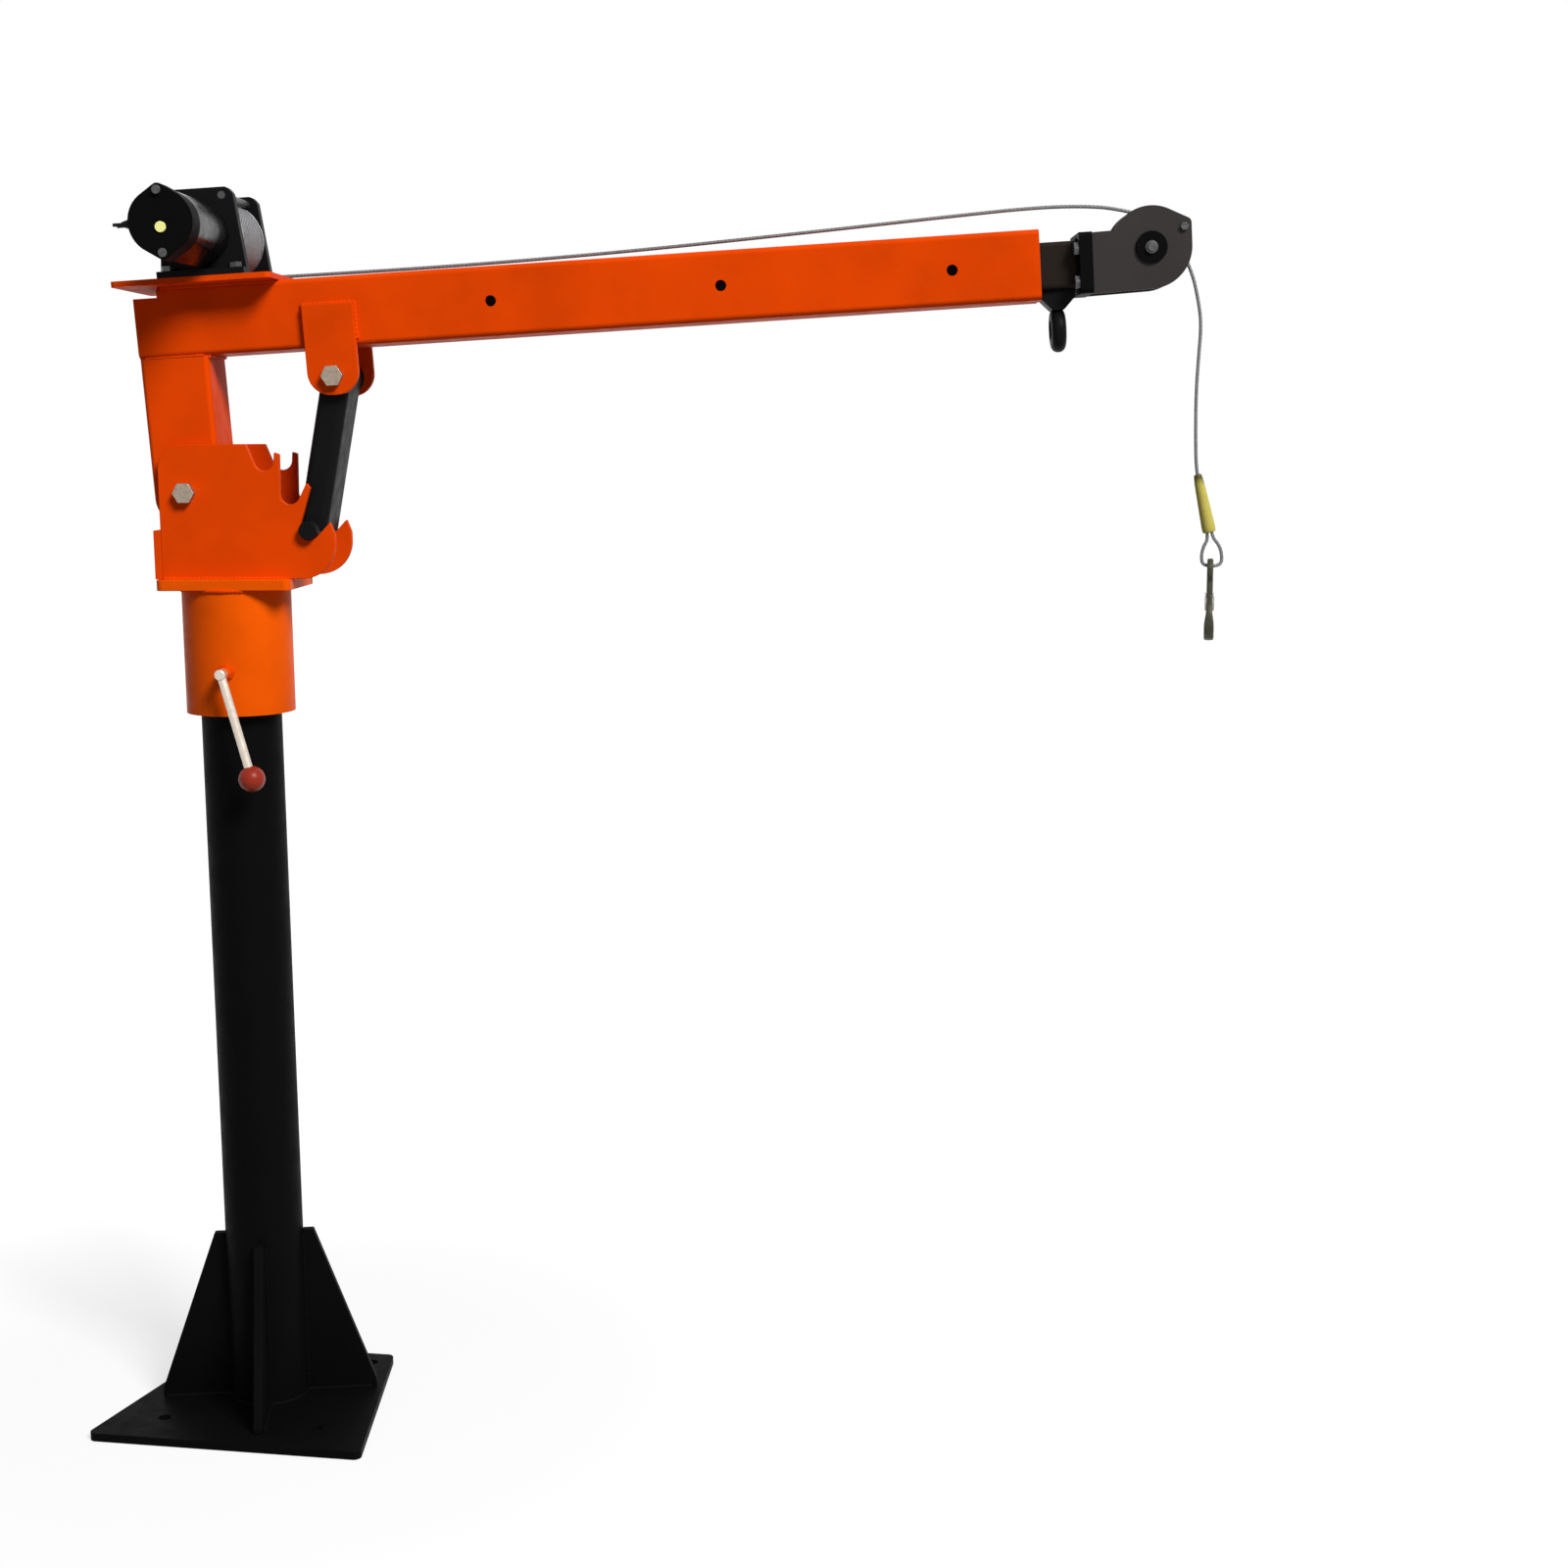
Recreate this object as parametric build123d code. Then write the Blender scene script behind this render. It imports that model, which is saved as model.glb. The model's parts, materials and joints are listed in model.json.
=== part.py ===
from build123d import *
import os
from math import acos, atan2, cos, degrees, hypot, pi, radians, sin, sqrt, tan

# Pillar crane for a truck bed. A post on a base plate carries a swivel head with notched plates.
# A boom turns up on the head and is propped by a strut. A telescopic arm with a pulley head slides
# in the boom, and an electric winch with its wire rope and hook sits on top.
# Millimetres and degrees. The origin is on the post's axis at the underside of the base plate, +X along
# the boom, +Z up. Pieces of the boom are drawn in the boom's own frame, x along it and z across it, and
# are then put in place by BOOM.

# Clearances
RUNNING = 0.05          # radial play of a pin or shaft that turns in its bore
SIDE_PLAY = 0.3         # gap between faces that pass each other
SLIDE_PLAY = 0.1        # gap between the arm and its slide pads

# Base plate, post and gussets
BASE_THICKNESS = 10
BASE_TURN = -8.4        # the plate stands turned about the post
BASE_FRONT = 144        # from the post's axis to the long edge
BASE_REAR = 118         # from the post's axis to the short edge
BASE_FRONT_WIDTH = 326
BASE_REAR_WIDTH = 222
BASE_CORNER = 8
BOLT_CIRCLE = 260
BOLT_COUNT = 4
BOLT_HOLE = 14
POST_DIAMETER = 89
POST_WALL = 6
CAP_THICKNESS = 8
GUSSET_COUNT = 4
GUSSET_TURN = 7
GUSSET_THICKNESS = 10
GUSSET_HEIGHT = 198
GUSSET_REACH = 124      # from the post's axis to a gusset's toe
GUSSET_TOP_WIDTH = 12.5
GUSSET_TOE = 10

# Swivel head
SLEEVE_WALL = 8
SLEEVE_LENGTH = 139
FLANGE_HEIGHT = 962     # underside of the flange plate, where the sleeve ends
FLANGE_LENGTH = 148
FLANGE_WIDTH = 120
FLANGE_THICKNESS = 12
FLANGE_CORNER = 8
THRUST_THICKNESS = 10
THRUST_DIAMETER = 78
BUSH_WALL = 7.45
BUSH_LENGTH = 34
BUSH_INSET = 2
PLATE_THICKNESS = 8     # notched plates
PLATE_GAP = 1.5         # between the mast and a notched plate
BACK_THICKNESS = 8
BACK_GAP = 3            # between the back plate and the mast's round end

# Pivot, and the notched plates' outline given from it
PIVOT_BEHIND = 39.7     # from the post's axis back to the pivot
PIVOT_RISE = 94.4       # from the flange plate up to the pivot
PLATE_BACK = 29.3       # from the pivot back to the plates' edge
PLATE_CROWN = 52.6      # from the pivot up to the plates' top edge
PLATE_REACH = 163.2     # from the pivot to the outside of the lowest hook
PLATE_SHOULDER = 73.7   # from the pivot to the end of the plates' top edge
PLATE_CORNER = 28
PLATE_HEEL = 38         # radius under the lowest hook
HOOK_SIDE = -46.4       # the lowest hook's outer side ends here
TOOTH_TIPS = ((110.7, 39.6), (137.7, 4.6), (158.7, -34.4))
NOTCH_WIDTH = 22
NOTCH_RADII = (94, 115, 141)         # from the pivot to each notch, top one first
NOTCH_ANGLES = (21.5, -1.0, -17.0)   # above the level of the pivot
NOTCH_FLARE = 26        # each notch opens by this much on its outer side
PIVOT_BOLT = 14
BOLT_HEAD = 21          # across flats
BOLT_HEAD_HEIGHT = 9
NUT_HEIGHT = 12
THREAD_STICKOUT = 4

# Clamp lever that locks the swivel
LOCK_DROP = 90          # from the flange plate down to the clamp screw
LOCK_SCREW = 8
LOCK_BOSS_DIAMETER = 13
LOCK_BOSS_REACH = 14
LOCK_HUB_DIAMETER = 12
LOCK_HUB_LENGTH = 13
LOCK_HUB_ROUND = 2
LOCK_ROD = 9.5
LOCK_LEAN = 14.2        # the lever hangs this far off plumb
LOCK_LENGTH = 119       # from the screw's axis to the ball's centre
LOCK_BALL = 29
LOCK_ROD_INSIDE = 8     # how deep the rod sits in the ball

# Boom and mast
BOOM_TILT = 3.33
TUBE = 75
TUBE_WALL = 5
TUBE_CORNER = 6
PIVOT_DROP = 184.5      # from the boom's centre line down to the pivot
BOOM_BACK = 88          # from the boom frame's origin back to the boom's rear end
BOOM_REACH = 895        # from the boom frame's origin to the boom's mouth
RELIEF_LENGTH = 26      # cut-away at the top of the boom's rear end
RELIEF_DEPTH = 11
PIVOT_BUSH = 30
PIN_HOLES = (300, 550, 800)
PIN_HOLE = 12
LUG_PLACE = 123.5       # from the boom frame's origin to the strut's pin
LUG_DROP = 69           # from the boom's centre line down to the strut's pin
LUG_WIDTH = 56
LUG_TOP = 8             # the lugs' upper edge lies this far above the centre line
LUG_BOTTOM = 20.5       # below the pin
LUG_CORNER = 25
LUG_THICKNESS = 8
LUG_PIN = 14

# Strut
STRUT_WIDTH = 32
STRUT_DEPTH = 69
STRUT_WALL = 4
STRUT_CORNER = 9
STRUT_BUSH = 34
STRUT_BAR = 20
STRUT_BAR_OVERHANG = 9  # past the notched plates, on each side

# Telescopic arm
ARM = 50
ARM_WALL = 4
ARM_CORNER = 5
ARM_DROP = 1            # the arm lies this far under the boom's centre line
ARM_INSIDE = 695        # length of the arm inside the boom
ARM_STICKOUT = 42       # bare length between the boom's mouth and the arm's flange
ARM_HOLES = (162.5, 287.5, 412.5, 537.5)   # from the arm's tail; they meet the boom's holes as it slides out
PAD_LENGTH = 48
PAD_WIDTH = 36
PAD_INSET = 2

# Eye under the arm's end
EYE_LUG = 38            # length along the arm
EYE_LUG_WIDTH = 34
EYE_LUG_DEPTH = 22
EYE_LUG_EDGE = 9
EYE_NECK = 13
EYE_DIAMETER = 48
EYE_SINK = 3            # how far the eye's disc reaches into its lug
EYE_HOLE = 22
EYE_THICKNESS = 16
EYE_ROUND = 7.5

# Pulley head
HEAD_FLANGE_THICKNESS = 7
HEAD_FLANGE_WIDTH = 86
HEAD_FLANGE_TOP = 31
HEAD_FLANGE_BOTTOM = 34
HEAD_FLANGE_CORNER = 5
HEAD_BOLT = 8
HEAD_BOLT_HEAD = 13
HEAD_BOLT_HEAD_HEIGHT = 5.5
HEAD_BOLT_SIDE = 34.5
HEAD_BOLT_LEVELS = (14, -21)
PULLEY_AHEAD = 65.4     # from the head's flange to the pulley's axis
PULLEY_RISE = 11.3
CHEEK_GAP = 40
CHEEK_THICKNESS = 6
CHEEK_RADIUS = 44
CHEEK_STEPS = ((-36.9, 20.2), (-27.1, 34.4))   # corners of the upper edge, from the pulley axis
CHEEK_NOSE = 6          # radius of the cheeks' upper front corner
CHEEK_NOSE_RISE = 27    # from the pulley's axis up to that corner
PULLEY_ROPE_RADIUS = 33
PULLEY_RIM = 4          # the rims stand this far past the rope's centre line
PULLEY_WIDTH = 16
PULLEY_HUB = 28
PULLEY_PIN = 14
PULLEY_WASHER = 34
PULLEY_WASHER_THICKNESS = 3
PIN_END = 10
PIN_END_LENGTH = 5
KEEPER_BOLT = 5
KEEPER_HEAD = 8
KEEPER_HEAD_HEIGHT = 3.5
KEEPER_AHEAD = 35.8     # from the pulley's axis to the rope keeper's bolt
KEEPER_RISE = 19.6

# Winch frame
WINCH_PLATE_BACK = 100  # from the boom frame's origin back to the plate's rear edge
WINCH_PLATE_FRONT = 72
WINCH_PLATE_WIDTH = 150
WINCH_PLATE_THICKNESS = 6
WINCH_PLATE_CORNER = 6
WINCH_PLACE = -2        # the winch's axis, along the boom
WINCH_RISE = 44.5       # from the plate up to the winch's axis
DRUM_SPACE = 93         # between the two winch brackets
BRACKET_THICKNESS = 12
BRACKET_WIDTH = 94
BRACKET_SHOULDER_WIDTH = 78
BRACKET_TOP_WIDTH = 66
BRACKET_TOP = 48        # above the winch's axis
BRACKET_SHOULDER = 41   # above the winch's axis
BRACKET_CORNER = 8
FOOT_REACH = 15.5
FOOT_THICKNESS = 7
WINCH_BOLT = 8
WINCH_BOLT_HEAD = 13
WINCH_BOLT_HEAD_HEIGHT = 5.5
WINCH_BOLT_SPACING = 72
TIE_ROD = 8
TIE_ROD_SIDE = 27
TIE_ROD_RISE = 39.5

# Motor, gearbox and clutch
MOTOR_DIAMETER = 62
MOTOR_LENGTH = 118
MOTOR_WALL = 3
MOTOR_END_RING = 10     # thick ring at the can's outer end, which takes the cover's screws
COVER_DIAMETER = 66
COVER_LENGTH = 28
COVER_WALL = 10
MOTOR_EAR = 11
COVER_EAR = 14
COVER_SCREW_RISE = 31
COVER_SCREW = 5
COVER_SCREW_DEPTH = 8   # how far a screw reaches into the can
COVER_SCREW_HEAD = 9
COVER_SCREW_HEAD_HEIGHT = 4
PLUG_DIAMETER = 11
PLUG_DROP = 5.5         # from the winch's axis down to the plug
PLUG_DEPTH = 4
PLUG_HEIGHT = 2
TERMINAL_BASE = 14
TERMINAL_TIP = 5
TERMINAL_BOOT = 41      # from the winch's axis to the end of a terminal's boot
TERMINAL_STUD = 3.5
TERMINAL_REACH = 50     # from the winch's axis to the end of a terminal
TERMINAL_SPACING = 13.6
GEARBOX_DIAMETER = 56
GEARBOX_LENGTH = 52
GEARBOX_WALL = 5
GEARBOX_ROUND = 4
SHAFT = 12
SHAFT_END = 20          # how far the shaft reaches into the gearbox
ARMATURE_DIAMETER = 44
ARMATURE_LENGTH = 70
ARMATURE_INSET = 12     # from the can's front wall to the armature
CLUTCH_HUB = 28
CLUTCH_HUB_LENGTH = 12
CLUTCH_SPINDLE = 10
CLUTCH_SPINDLE_INSIDE = 10
CLUTCH_GRIP_LENGTH = 46
CLUTCH_GRIP_WIDTH = 10
CLUTCH_GRIP_HEIGHT = 9

# Drum
DRUM_CORE = 52
DRUM_FLANGE = 86
DRUM_FLANGE_THICKNESS = 3
DRUM_JOURNAL = 36
DRUM_BORE = 18

# Wire rope
ROPE = 4
WINDING_RADIUS = 41     # rope's centre line on the drum
WINDING_PITCH = 4.5
WINDING_TURNS = 18
WINDING_END = 40.9      # sideways place where the rope leaves the drum
LAYER_GAP = 0.4         # between the inner rope layers and the outer one
GROOVE_GAP = 0.3        # between the rope and the pulley's groove
FILLET_SHARE = 0.45     # share of the shorter run that a bend of the rope may take
RUN_AT_DRUM = ((20, -41), (202, -43.6), (422, -41.6))          # from the winch's axis
RUN_AT_PULLEY = ((-376, 42.5), (-216, 49), (-126, 52.1),
                 (-71.4, 50.5), (-28.4, 44.7))                # from the pulley's axis
DROP_POINTS = ((47.9, -22.2), (56, -54.8), (59.9, -81),
               (57.6, -117.9), (55.8, -156), (56.5, -207.2))   # from the pulley's axis, in X and Z
SLEEVE_HEAD = (59.5, -243.8)    # from the pulley's axis, as the drop's points are
SLEEVE_FOOT = (74, -307.4)
ROPE_SLEEVE_HEAD = 10   # the sleeve widens from its head to its foot
ROPE_SLEEVE_FOOT = 15
ROPE_SLEEVE_ROUND = 2
SLEEVE_LEAD = 7         # the rope runs in line with its sleeve for this length
LOOP_SPREAD = 2.4       # each leg of the loop lies this far off the sleeve's axis
LOOP_POINTS = ((8, 29), (12.5, 18.5), (12.5, 4),
               (-8.6, 4), (-10.4, 15), (-8, 26))   # from the hook's eye

# Hook and latch, drawn in Y and Z about the centre of the hook's eye
HOOK_PLACE = (76, -348.8)       # from the pulley's axis to the hook's eye, X and Z
HOOK_TURN = -9.9        # the hook hangs turned by this angle about the vertical, in degrees
HOOK_THICKNESS = 7
HOOK_EYE = 25
HOOK_EYE_HOLE = 13
HOOK_SHANK = 11
HOOK_SHANK_END = 38     # below the eye's centre
HOOK_BOWL_DROP = 54
HOOK_BOWL_INSIDE = 30
HOOK_BAR = 10
HOOK_TIP_ANGLE = 20
HOOK_NECK_ANGLE = 105
LATCH_DROP = 29         # from the eye's centre down to the latch's pin
LATCH_PIN = 4
LATCH_LENGTH = 21.5
LATCH_ANGLE = -54
LATCH_SHEET = 1.5
LATCH_EAR = 7
LATCH_START = 11.2      # from the latch's pin to the near edge of its tongue

# Places that several pieces share
POST_RADIUS = POST_DIAMETER / 2
FLANGE_TOP = FLANGE_HEIGHT + FLANGE_THICKNESS
SLEEVE_BOTTOM = FLANGE_HEIGHT - SLEEVE_LENGTH
SLEEVE_INSIDE = POST_DIAMETER + 2 * (RUNNING + BUSH_WALL)
SLEEVE_DIAMETER = SLEEVE_INSIDE + 2 * SLEEVE_WALL
POST_TOP = FLANGE_HEIGHT - THRUST_THICKNESS - SIDE_PLAY
LOCK_Z = FLANGE_HEIGHT - LOCK_DROP
LOCK_BOSS_END = -SLEEVE_DIAMETER / 2 - LOCK_BOSS_REACH
LOCK_HUB_START = LOCK_BOSS_END - SIDE_PLAY
LOCK_HUB_END = LOCK_HUB_START - LOCK_HUB_LENGTH
PLATE_INSIDE = TUBE / 2 + PLATE_GAP
PLATE_OUTSIDE = PLATE_INSIDE + PLATE_THICKNESS
PIVOT_X = -PIVOT_BEHIND
PIVOT_Z = FLANGE_TOP + PIVOT_RISE
MAST_PLACE = TUBE / 2 - BOOM_BACK
BOOM = Location((PIVOT_X, 0, PIVOT_Z), (0, -BOOM_TILT, 0)) * Pos(-MAST_PLACE, 0, PIVOT_DROP)
WINCH_BASE = TUBE / 2 + WINCH_PLATE_THICKNESS
WINCH_Z = WINCH_BASE + WINCH_RISE
BRACKET_OUTSIDE = DRUM_SPACE / 2 + BRACKET_THICKNESS
MOTOR_END = -BRACKET_OUTSIDE - MOTOR_LENGTH
COVER_END = MOTOR_END - COVER_LENGTH
COVER_CAVITY = 2 * (COVER_SCREW_RISE - COVER_SCREW)
GEARBOX_END = BRACKET_OUTSIDE + GEARBOX_LENGTH
DRUM_FACE = DRUM_SPACE / 2 - SIDE_PLAY
DRUM_INSIDE = DRUM_FACE - DRUM_FLANGE_THICKNESS
ARM_TAIL = BOOM_REACH - ARM_INSIDE
ARM_END = BOOM_REACH + ARM_STICKOUT
ARM_BOTTOM = -ARM_DROP - ARM / 2
ARM_TOP = ARM / 2 - ARM_DROP
HEAD_FACE = ARM_END + 2 * HEAD_FLANGE_THICKNESS
PULLEY_X = HEAD_FACE + PULLEY_AHEAD
CHEEK_OUTSIDE = CHEEK_GAP / 2 + CHEEK_THICKNESS
WINCH_BOLT_SIDE = BRACKET_OUTSIDE + FOOT_REACH / 2
WINCH_BOLT_PLACES = [(WINCH_PLACE + x * WINCH_BOLT_SPACING / 2, y * WINCH_BOLT_SIDE)
                     for x in (-1, 1) for y in (-1, 1)]


def in_row(x, z):
    """A point of the boom's frame as X and Z of the row's frame."""
    place = (BOOM * Pos(x, 0, z)).position
    return place.X, place.Z


LUG_X, LUG_Z = in_row(LUG_PLACE, -LUG_DROP)
TIP_X, TIP_Z = in_row(PULLEY_X, PULLEY_RISE)
BAR_X = PIVOT_X + NOTCH_RADII[-1] * cos(radians(NOTCH_ANGLES[-1]))
BAR_Z = PIVOT_Z + NOTCH_RADII[-1] * sin(radians(NOTCH_ANGLES[-1]))


def box(low, high):
    """A block between two opposite corners."""
    size = [b - a for a, b in zip(low, high)]
    return Pos(*low) * Box(*size, align=(Align.MIN, Align.MIN, Align.MIN))


def slab(outline, y_low, y_high):
    """A flat outline in X and Z made solid between two Y planes."""
    return extrude(Plane.XZ.offset(-y_high) * outline, amount=y_high - y_low)


def across(outline, x_low, x_high):
    """A flat outline in Y and Z made solid between two X planes."""
    return extrude(Plane.YZ.offset(x_low) * outline, amount=x_high - x_low)


def bar_y(x, z, y_low, y_high, diameter):
    """A round bar along Y."""
    return slab(Pos(x, z) * Circle(diameter / 2), y_low, y_high)


def bar_x(x_low, x_high, y, z, diameter):
    """A round bar along X."""
    return across(Pos(y, z) * Circle(diameter / 2), x_low, x_high)


def bar_z(x, y, z_low, z_high, diameter):
    """A round bar along Z."""
    return Pos(x, y, z_low) * extrude(Circle(diameter / 2), amount=z_high - z_low)


def hexagon(across_flats):
    """The outline of a bolt's head or a nut."""
    return RegularPolygon(across_flats / sqrt(3), 6)


def hex_y(x, z, y_low, y_high, across_flats):
    """A hexagonal head or nut along Y."""
    return slab(Pos(x, z) * hexagon(across_flats), y_low, y_high)


def ring_z(outer, inner, z_low, z_high):
    """A round tube on the post's axis."""
    return bar_z(0, 0, z_low, z_high, outer) - bar_z(0, 0, z_low, z_high, inner)


def square_tube(size, wall, corner):
    """The section of a square tube with rounded edges."""
    inner = size - 2 * wall
    return RectangleRounded(size, size, corner) - RectangleRounded(inner, inner, max(corner - wall, 1))


def write(name, *solids):
    """Write one node, a solid or a group of separate ones."""
    shape = solids[0] if len(solids) == 1 else Compound(children=list(solids))
    export_step(shape, f"parts/{name}.step")


def make_base():
    """The base plate with its bolt holes, the post with its cap, and the gussets."""
    front = BASE_FRONT_WIDTH / 2
    rear = BASE_REAR_WIDTH / 2
    outline = Polygon((-front, -BASE_FRONT), (front, -BASE_FRONT),
                      (rear, BASE_REAR), (-rear, BASE_REAR), align=None)
    outline = fillet(outline.vertices(), BASE_CORNER)
    bolt_places = PolarLocations(BOLT_CIRCLE / 2, BOLT_COUNT, start_angle=180 / BOLT_COUNT)
    outline -= bolt_places * Circle(BOLT_HOLE / 2)
    write("base_plate", Rot(0, 0, BASE_TURN) * extrude(outline, amount=BASE_THICKNESS))
    cap_bottom = POST_TOP - CAP_THICKNESS
    write("post_tube", ring_z(POST_DIAMETER, POST_DIAMETER - 2 * POST_WALL, BASE_THICKNESS, cap_bottom))
    write("post_cap", bar_z(0, 0, cap_bottom, POST_TOP, POST_DIAMETER))
    inside = POST_RADIUS - POST_WALL
    top = BASE_THICKNESS + GUSSET_HEIGHT
    profile = Polygon((inside, BASE_THICKNESS), (GUSSET_REACH, BASE_THICKNESS),
                      (GUSSET_REACH, BASE_THICKNESS + GUSSET_TOE), (POST_RADIUS + GUSSET_TOP_WIDTH, top),
                      (inside, top), align=None)
    gusset = slab(profile, -GUSSET_THICKNESS / 2, GUSSET_THICKNESS / 2)
    gusset -= bar_z(0, 0, 0, POST_TOP, POST_DIAMETER)
    turns = [GUSSET_TURN + 360 / GUSSET_COUNT * k for k in range(GUSSET_COUNT)]
    write("gussets", *[Rot(0, 0, turn) * gusset for turn in turns])


def make_sleeve():
    """The sleeve on the post, its bushes and thrust washer, the flange, and the clamp screw's boss."""
    sleeve = ring_z(SLEEVE_DIAMETER, SLEEVE_INSIDE, SLEEVE_BOTTOM, FLANGE_HEIGHT)
    write("sleeve", sleeve - bar_y(0, LOCK_Z, -SLEEVE_DIAMETER, 0, LOCK_SCREW + 2 * SIDE_PLAY))
    bush = POST_DIAMETER + 2 * RUNNING
    low = SLEEVE_BOTTOM + BUSH_INSET
    high = POST_TOP - BUSH_INSET
    write("swivel_bushes", ring_z(SLEEVE_INSIDE, bush, low, low + BUSH_LENGTH),
          ring_z(SLEEVE_INSIDE, bush, high - BUSH_LENGTH, high))
    write("thrust_washer", bar_z(0, 0, FLANGE_HEIGHT - THRUST_THICKNESS, FLANGE_HEIGHT, THRUST_DIAMETER))
    flange = RectangleRounded(FLANGE_LENGTH, FLANGE_WIDTH, FLANGE_CORNER)
    write("flange_plate", Pos(0, 0, FLANGE_HEIGHT) * extrude(flange, amount=FLANGE_THICKNESS))
    boss = bar_y(0, LOCK_Z, LOCK_BOSS_END, 0, LOCK_BOSS_DIAMETER)
    boss -= bar_z(0, 0, SLEEVE_BOTTOM, FLANGE_HEIGHT, SLEEVE_DIAMETER)
    write("lock_boss", boss - bar_y(0, LOCK_Z, LOCK_BOSS_END, 0, LOCK_SCREW + 2 * RUNNING))


def make_lock_lever():
    """The clamp screw with its hub, the lever and the ball on its end."""
    screw = bar_y(0, LOCK_Z, LOCK_HUB_START, -POST_RADIUS - SIDE_PLAY, LOCK_SCREW)
    hub = bar_y(0, LOCK_Z, LOCK_HUB_END, LOCK_HUB_START, LOCK_HUB_DIAMETER)
    hub_round = fillet(hub.edges().group_by(Axis.Y)[0], LOCK_HUB_ROUND)
    write("lock_screw", screw + hub_round)
    lever = Location((0, LOCK_HUB_END + LOCK_HUB_LENGTH / 2, LOCK_Z), (0, 180 - LOCK_LEAN, 0))
    rod = lever * extrude(Circle(LOCK_ROD / 2), amount=LOCK_LENGTH - LOCK_BALL / 2 + LOCK_ROD_INSIDE)
    write("lock_rod", rod - hub)
    write("lock_ball", lever * Pos(0, 0, LOCK_LENGTH) * Sphere(LOCK_BALL / 2) - rod)


def notch(radius, angle):
    """One notch's outline: round at its bottom, one wall square to the line from the pivot, one flared."""
    x = PIVOT_X + radius * cos(radians(angle))
    z = PIVOT_Z + radius * sin(radians(angle))
    half = NOTCH_WIDTH / 2
    depth = 3 * NOTCH_WIDTH
    inner = radians(angle + 90)
    outer = radians(angle + 90 - NOTCH_FLARE)
    inner_foot = (x - half * sin(inner), z + half * cos(inner))
    outer_foot = (x + half * sin(outer), z - half * cos(outer))
    inner_top = (inner_foot[0] + depth * cos(inner), inner_foot[1] + depth * sin(inner))
    outer_top = (outer_foot[0] + depth * cos(outer), outer_foot[1] + depth * sin(outer))
    mouth = Polygon((x, z), outer_foot, outer_top, inner_top, inner_foot, align=None)
    return Pos(x, z) * Circle(half) + mouth


def make_notched_plates():
    """The two notched plates, the plate that joins their backs, and the pivot bolt with its nut."""
    back = PIVOT_X - PLATE_BACK
    top = PIVOT_Z + PLATE_CROWN
    reach = PIVOT_X + PLATE_REACH
    tips = [(PIVOT_X + x, PIVOT_Z + z) for x, z in TOOTH_TIPS]
    outline = Polygon((back, FLANGE_TOP), (reach, FLANGE_TOP), (reach, PIVOT_Z + HOOK_SIDE),
                      *reversed(tips), (PIVOT_X + PLATE_SHOULDER, top), (back, top), align=None)
    heel = outline.vertices().sort_by_distance(Vector(reach, FLANGE_TOP))[0]
    outline = fillet(heel, PLATE_HEEL)
    crown = outline.vertices().sort_by_distance(Vector(back, top))[0]
    outline = fillet(crown, PLATE_CORNER)
    for radius, angle in zip(NOTCH_RADII, NOTCH_ANGLES):
        outline -= notch(radius, angle)
    outline -= Pos(PIVOT_X, PIVOT_Z) * Circle(PIVOT_BOLT / 2)
    write("notched_plate_near", slab(outline, -PLATE_OUTSIDE, -PLATE_INSIDE))
    write("notched_plate_far", slab(outline, PLATE_INSIDE, PLATE_OUTSIDE))
    back_top = PIVOT_Z - TUBE / 2 - BACK_GAP
    write("back_plate", box((back - BACK_THICKNESS, -PLATE_OUTSIDE, FLANGE_TOP),
                            (back, PLATE_OUTSIDE, back_top)))
    end = PLATE_OUTSIDE + NUT_HEIGHT + THREAD_STICKOUT
    shank = bar_y(PIVOT_X, PIVOT_Z, -PLATE_OUTSIDE, end, PIVOT_BOLT)
    head = hex_y(PIVOT_X, PIVOT_Z, -PLATE_OUTSIDE - BOLT_HEAD_HEIGHT, -PLATE_OUTSIDE, BOLT_HEAD)
    nut = hex_y(PIVOT_X, PIVOT_Z, PLATE_OUTSIDE, PLATE_OUTSIDE + NUT_HEIGHT, BOLT_HEAD)
    write("pivot_bolt", shank + head, nut - shank)


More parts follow.
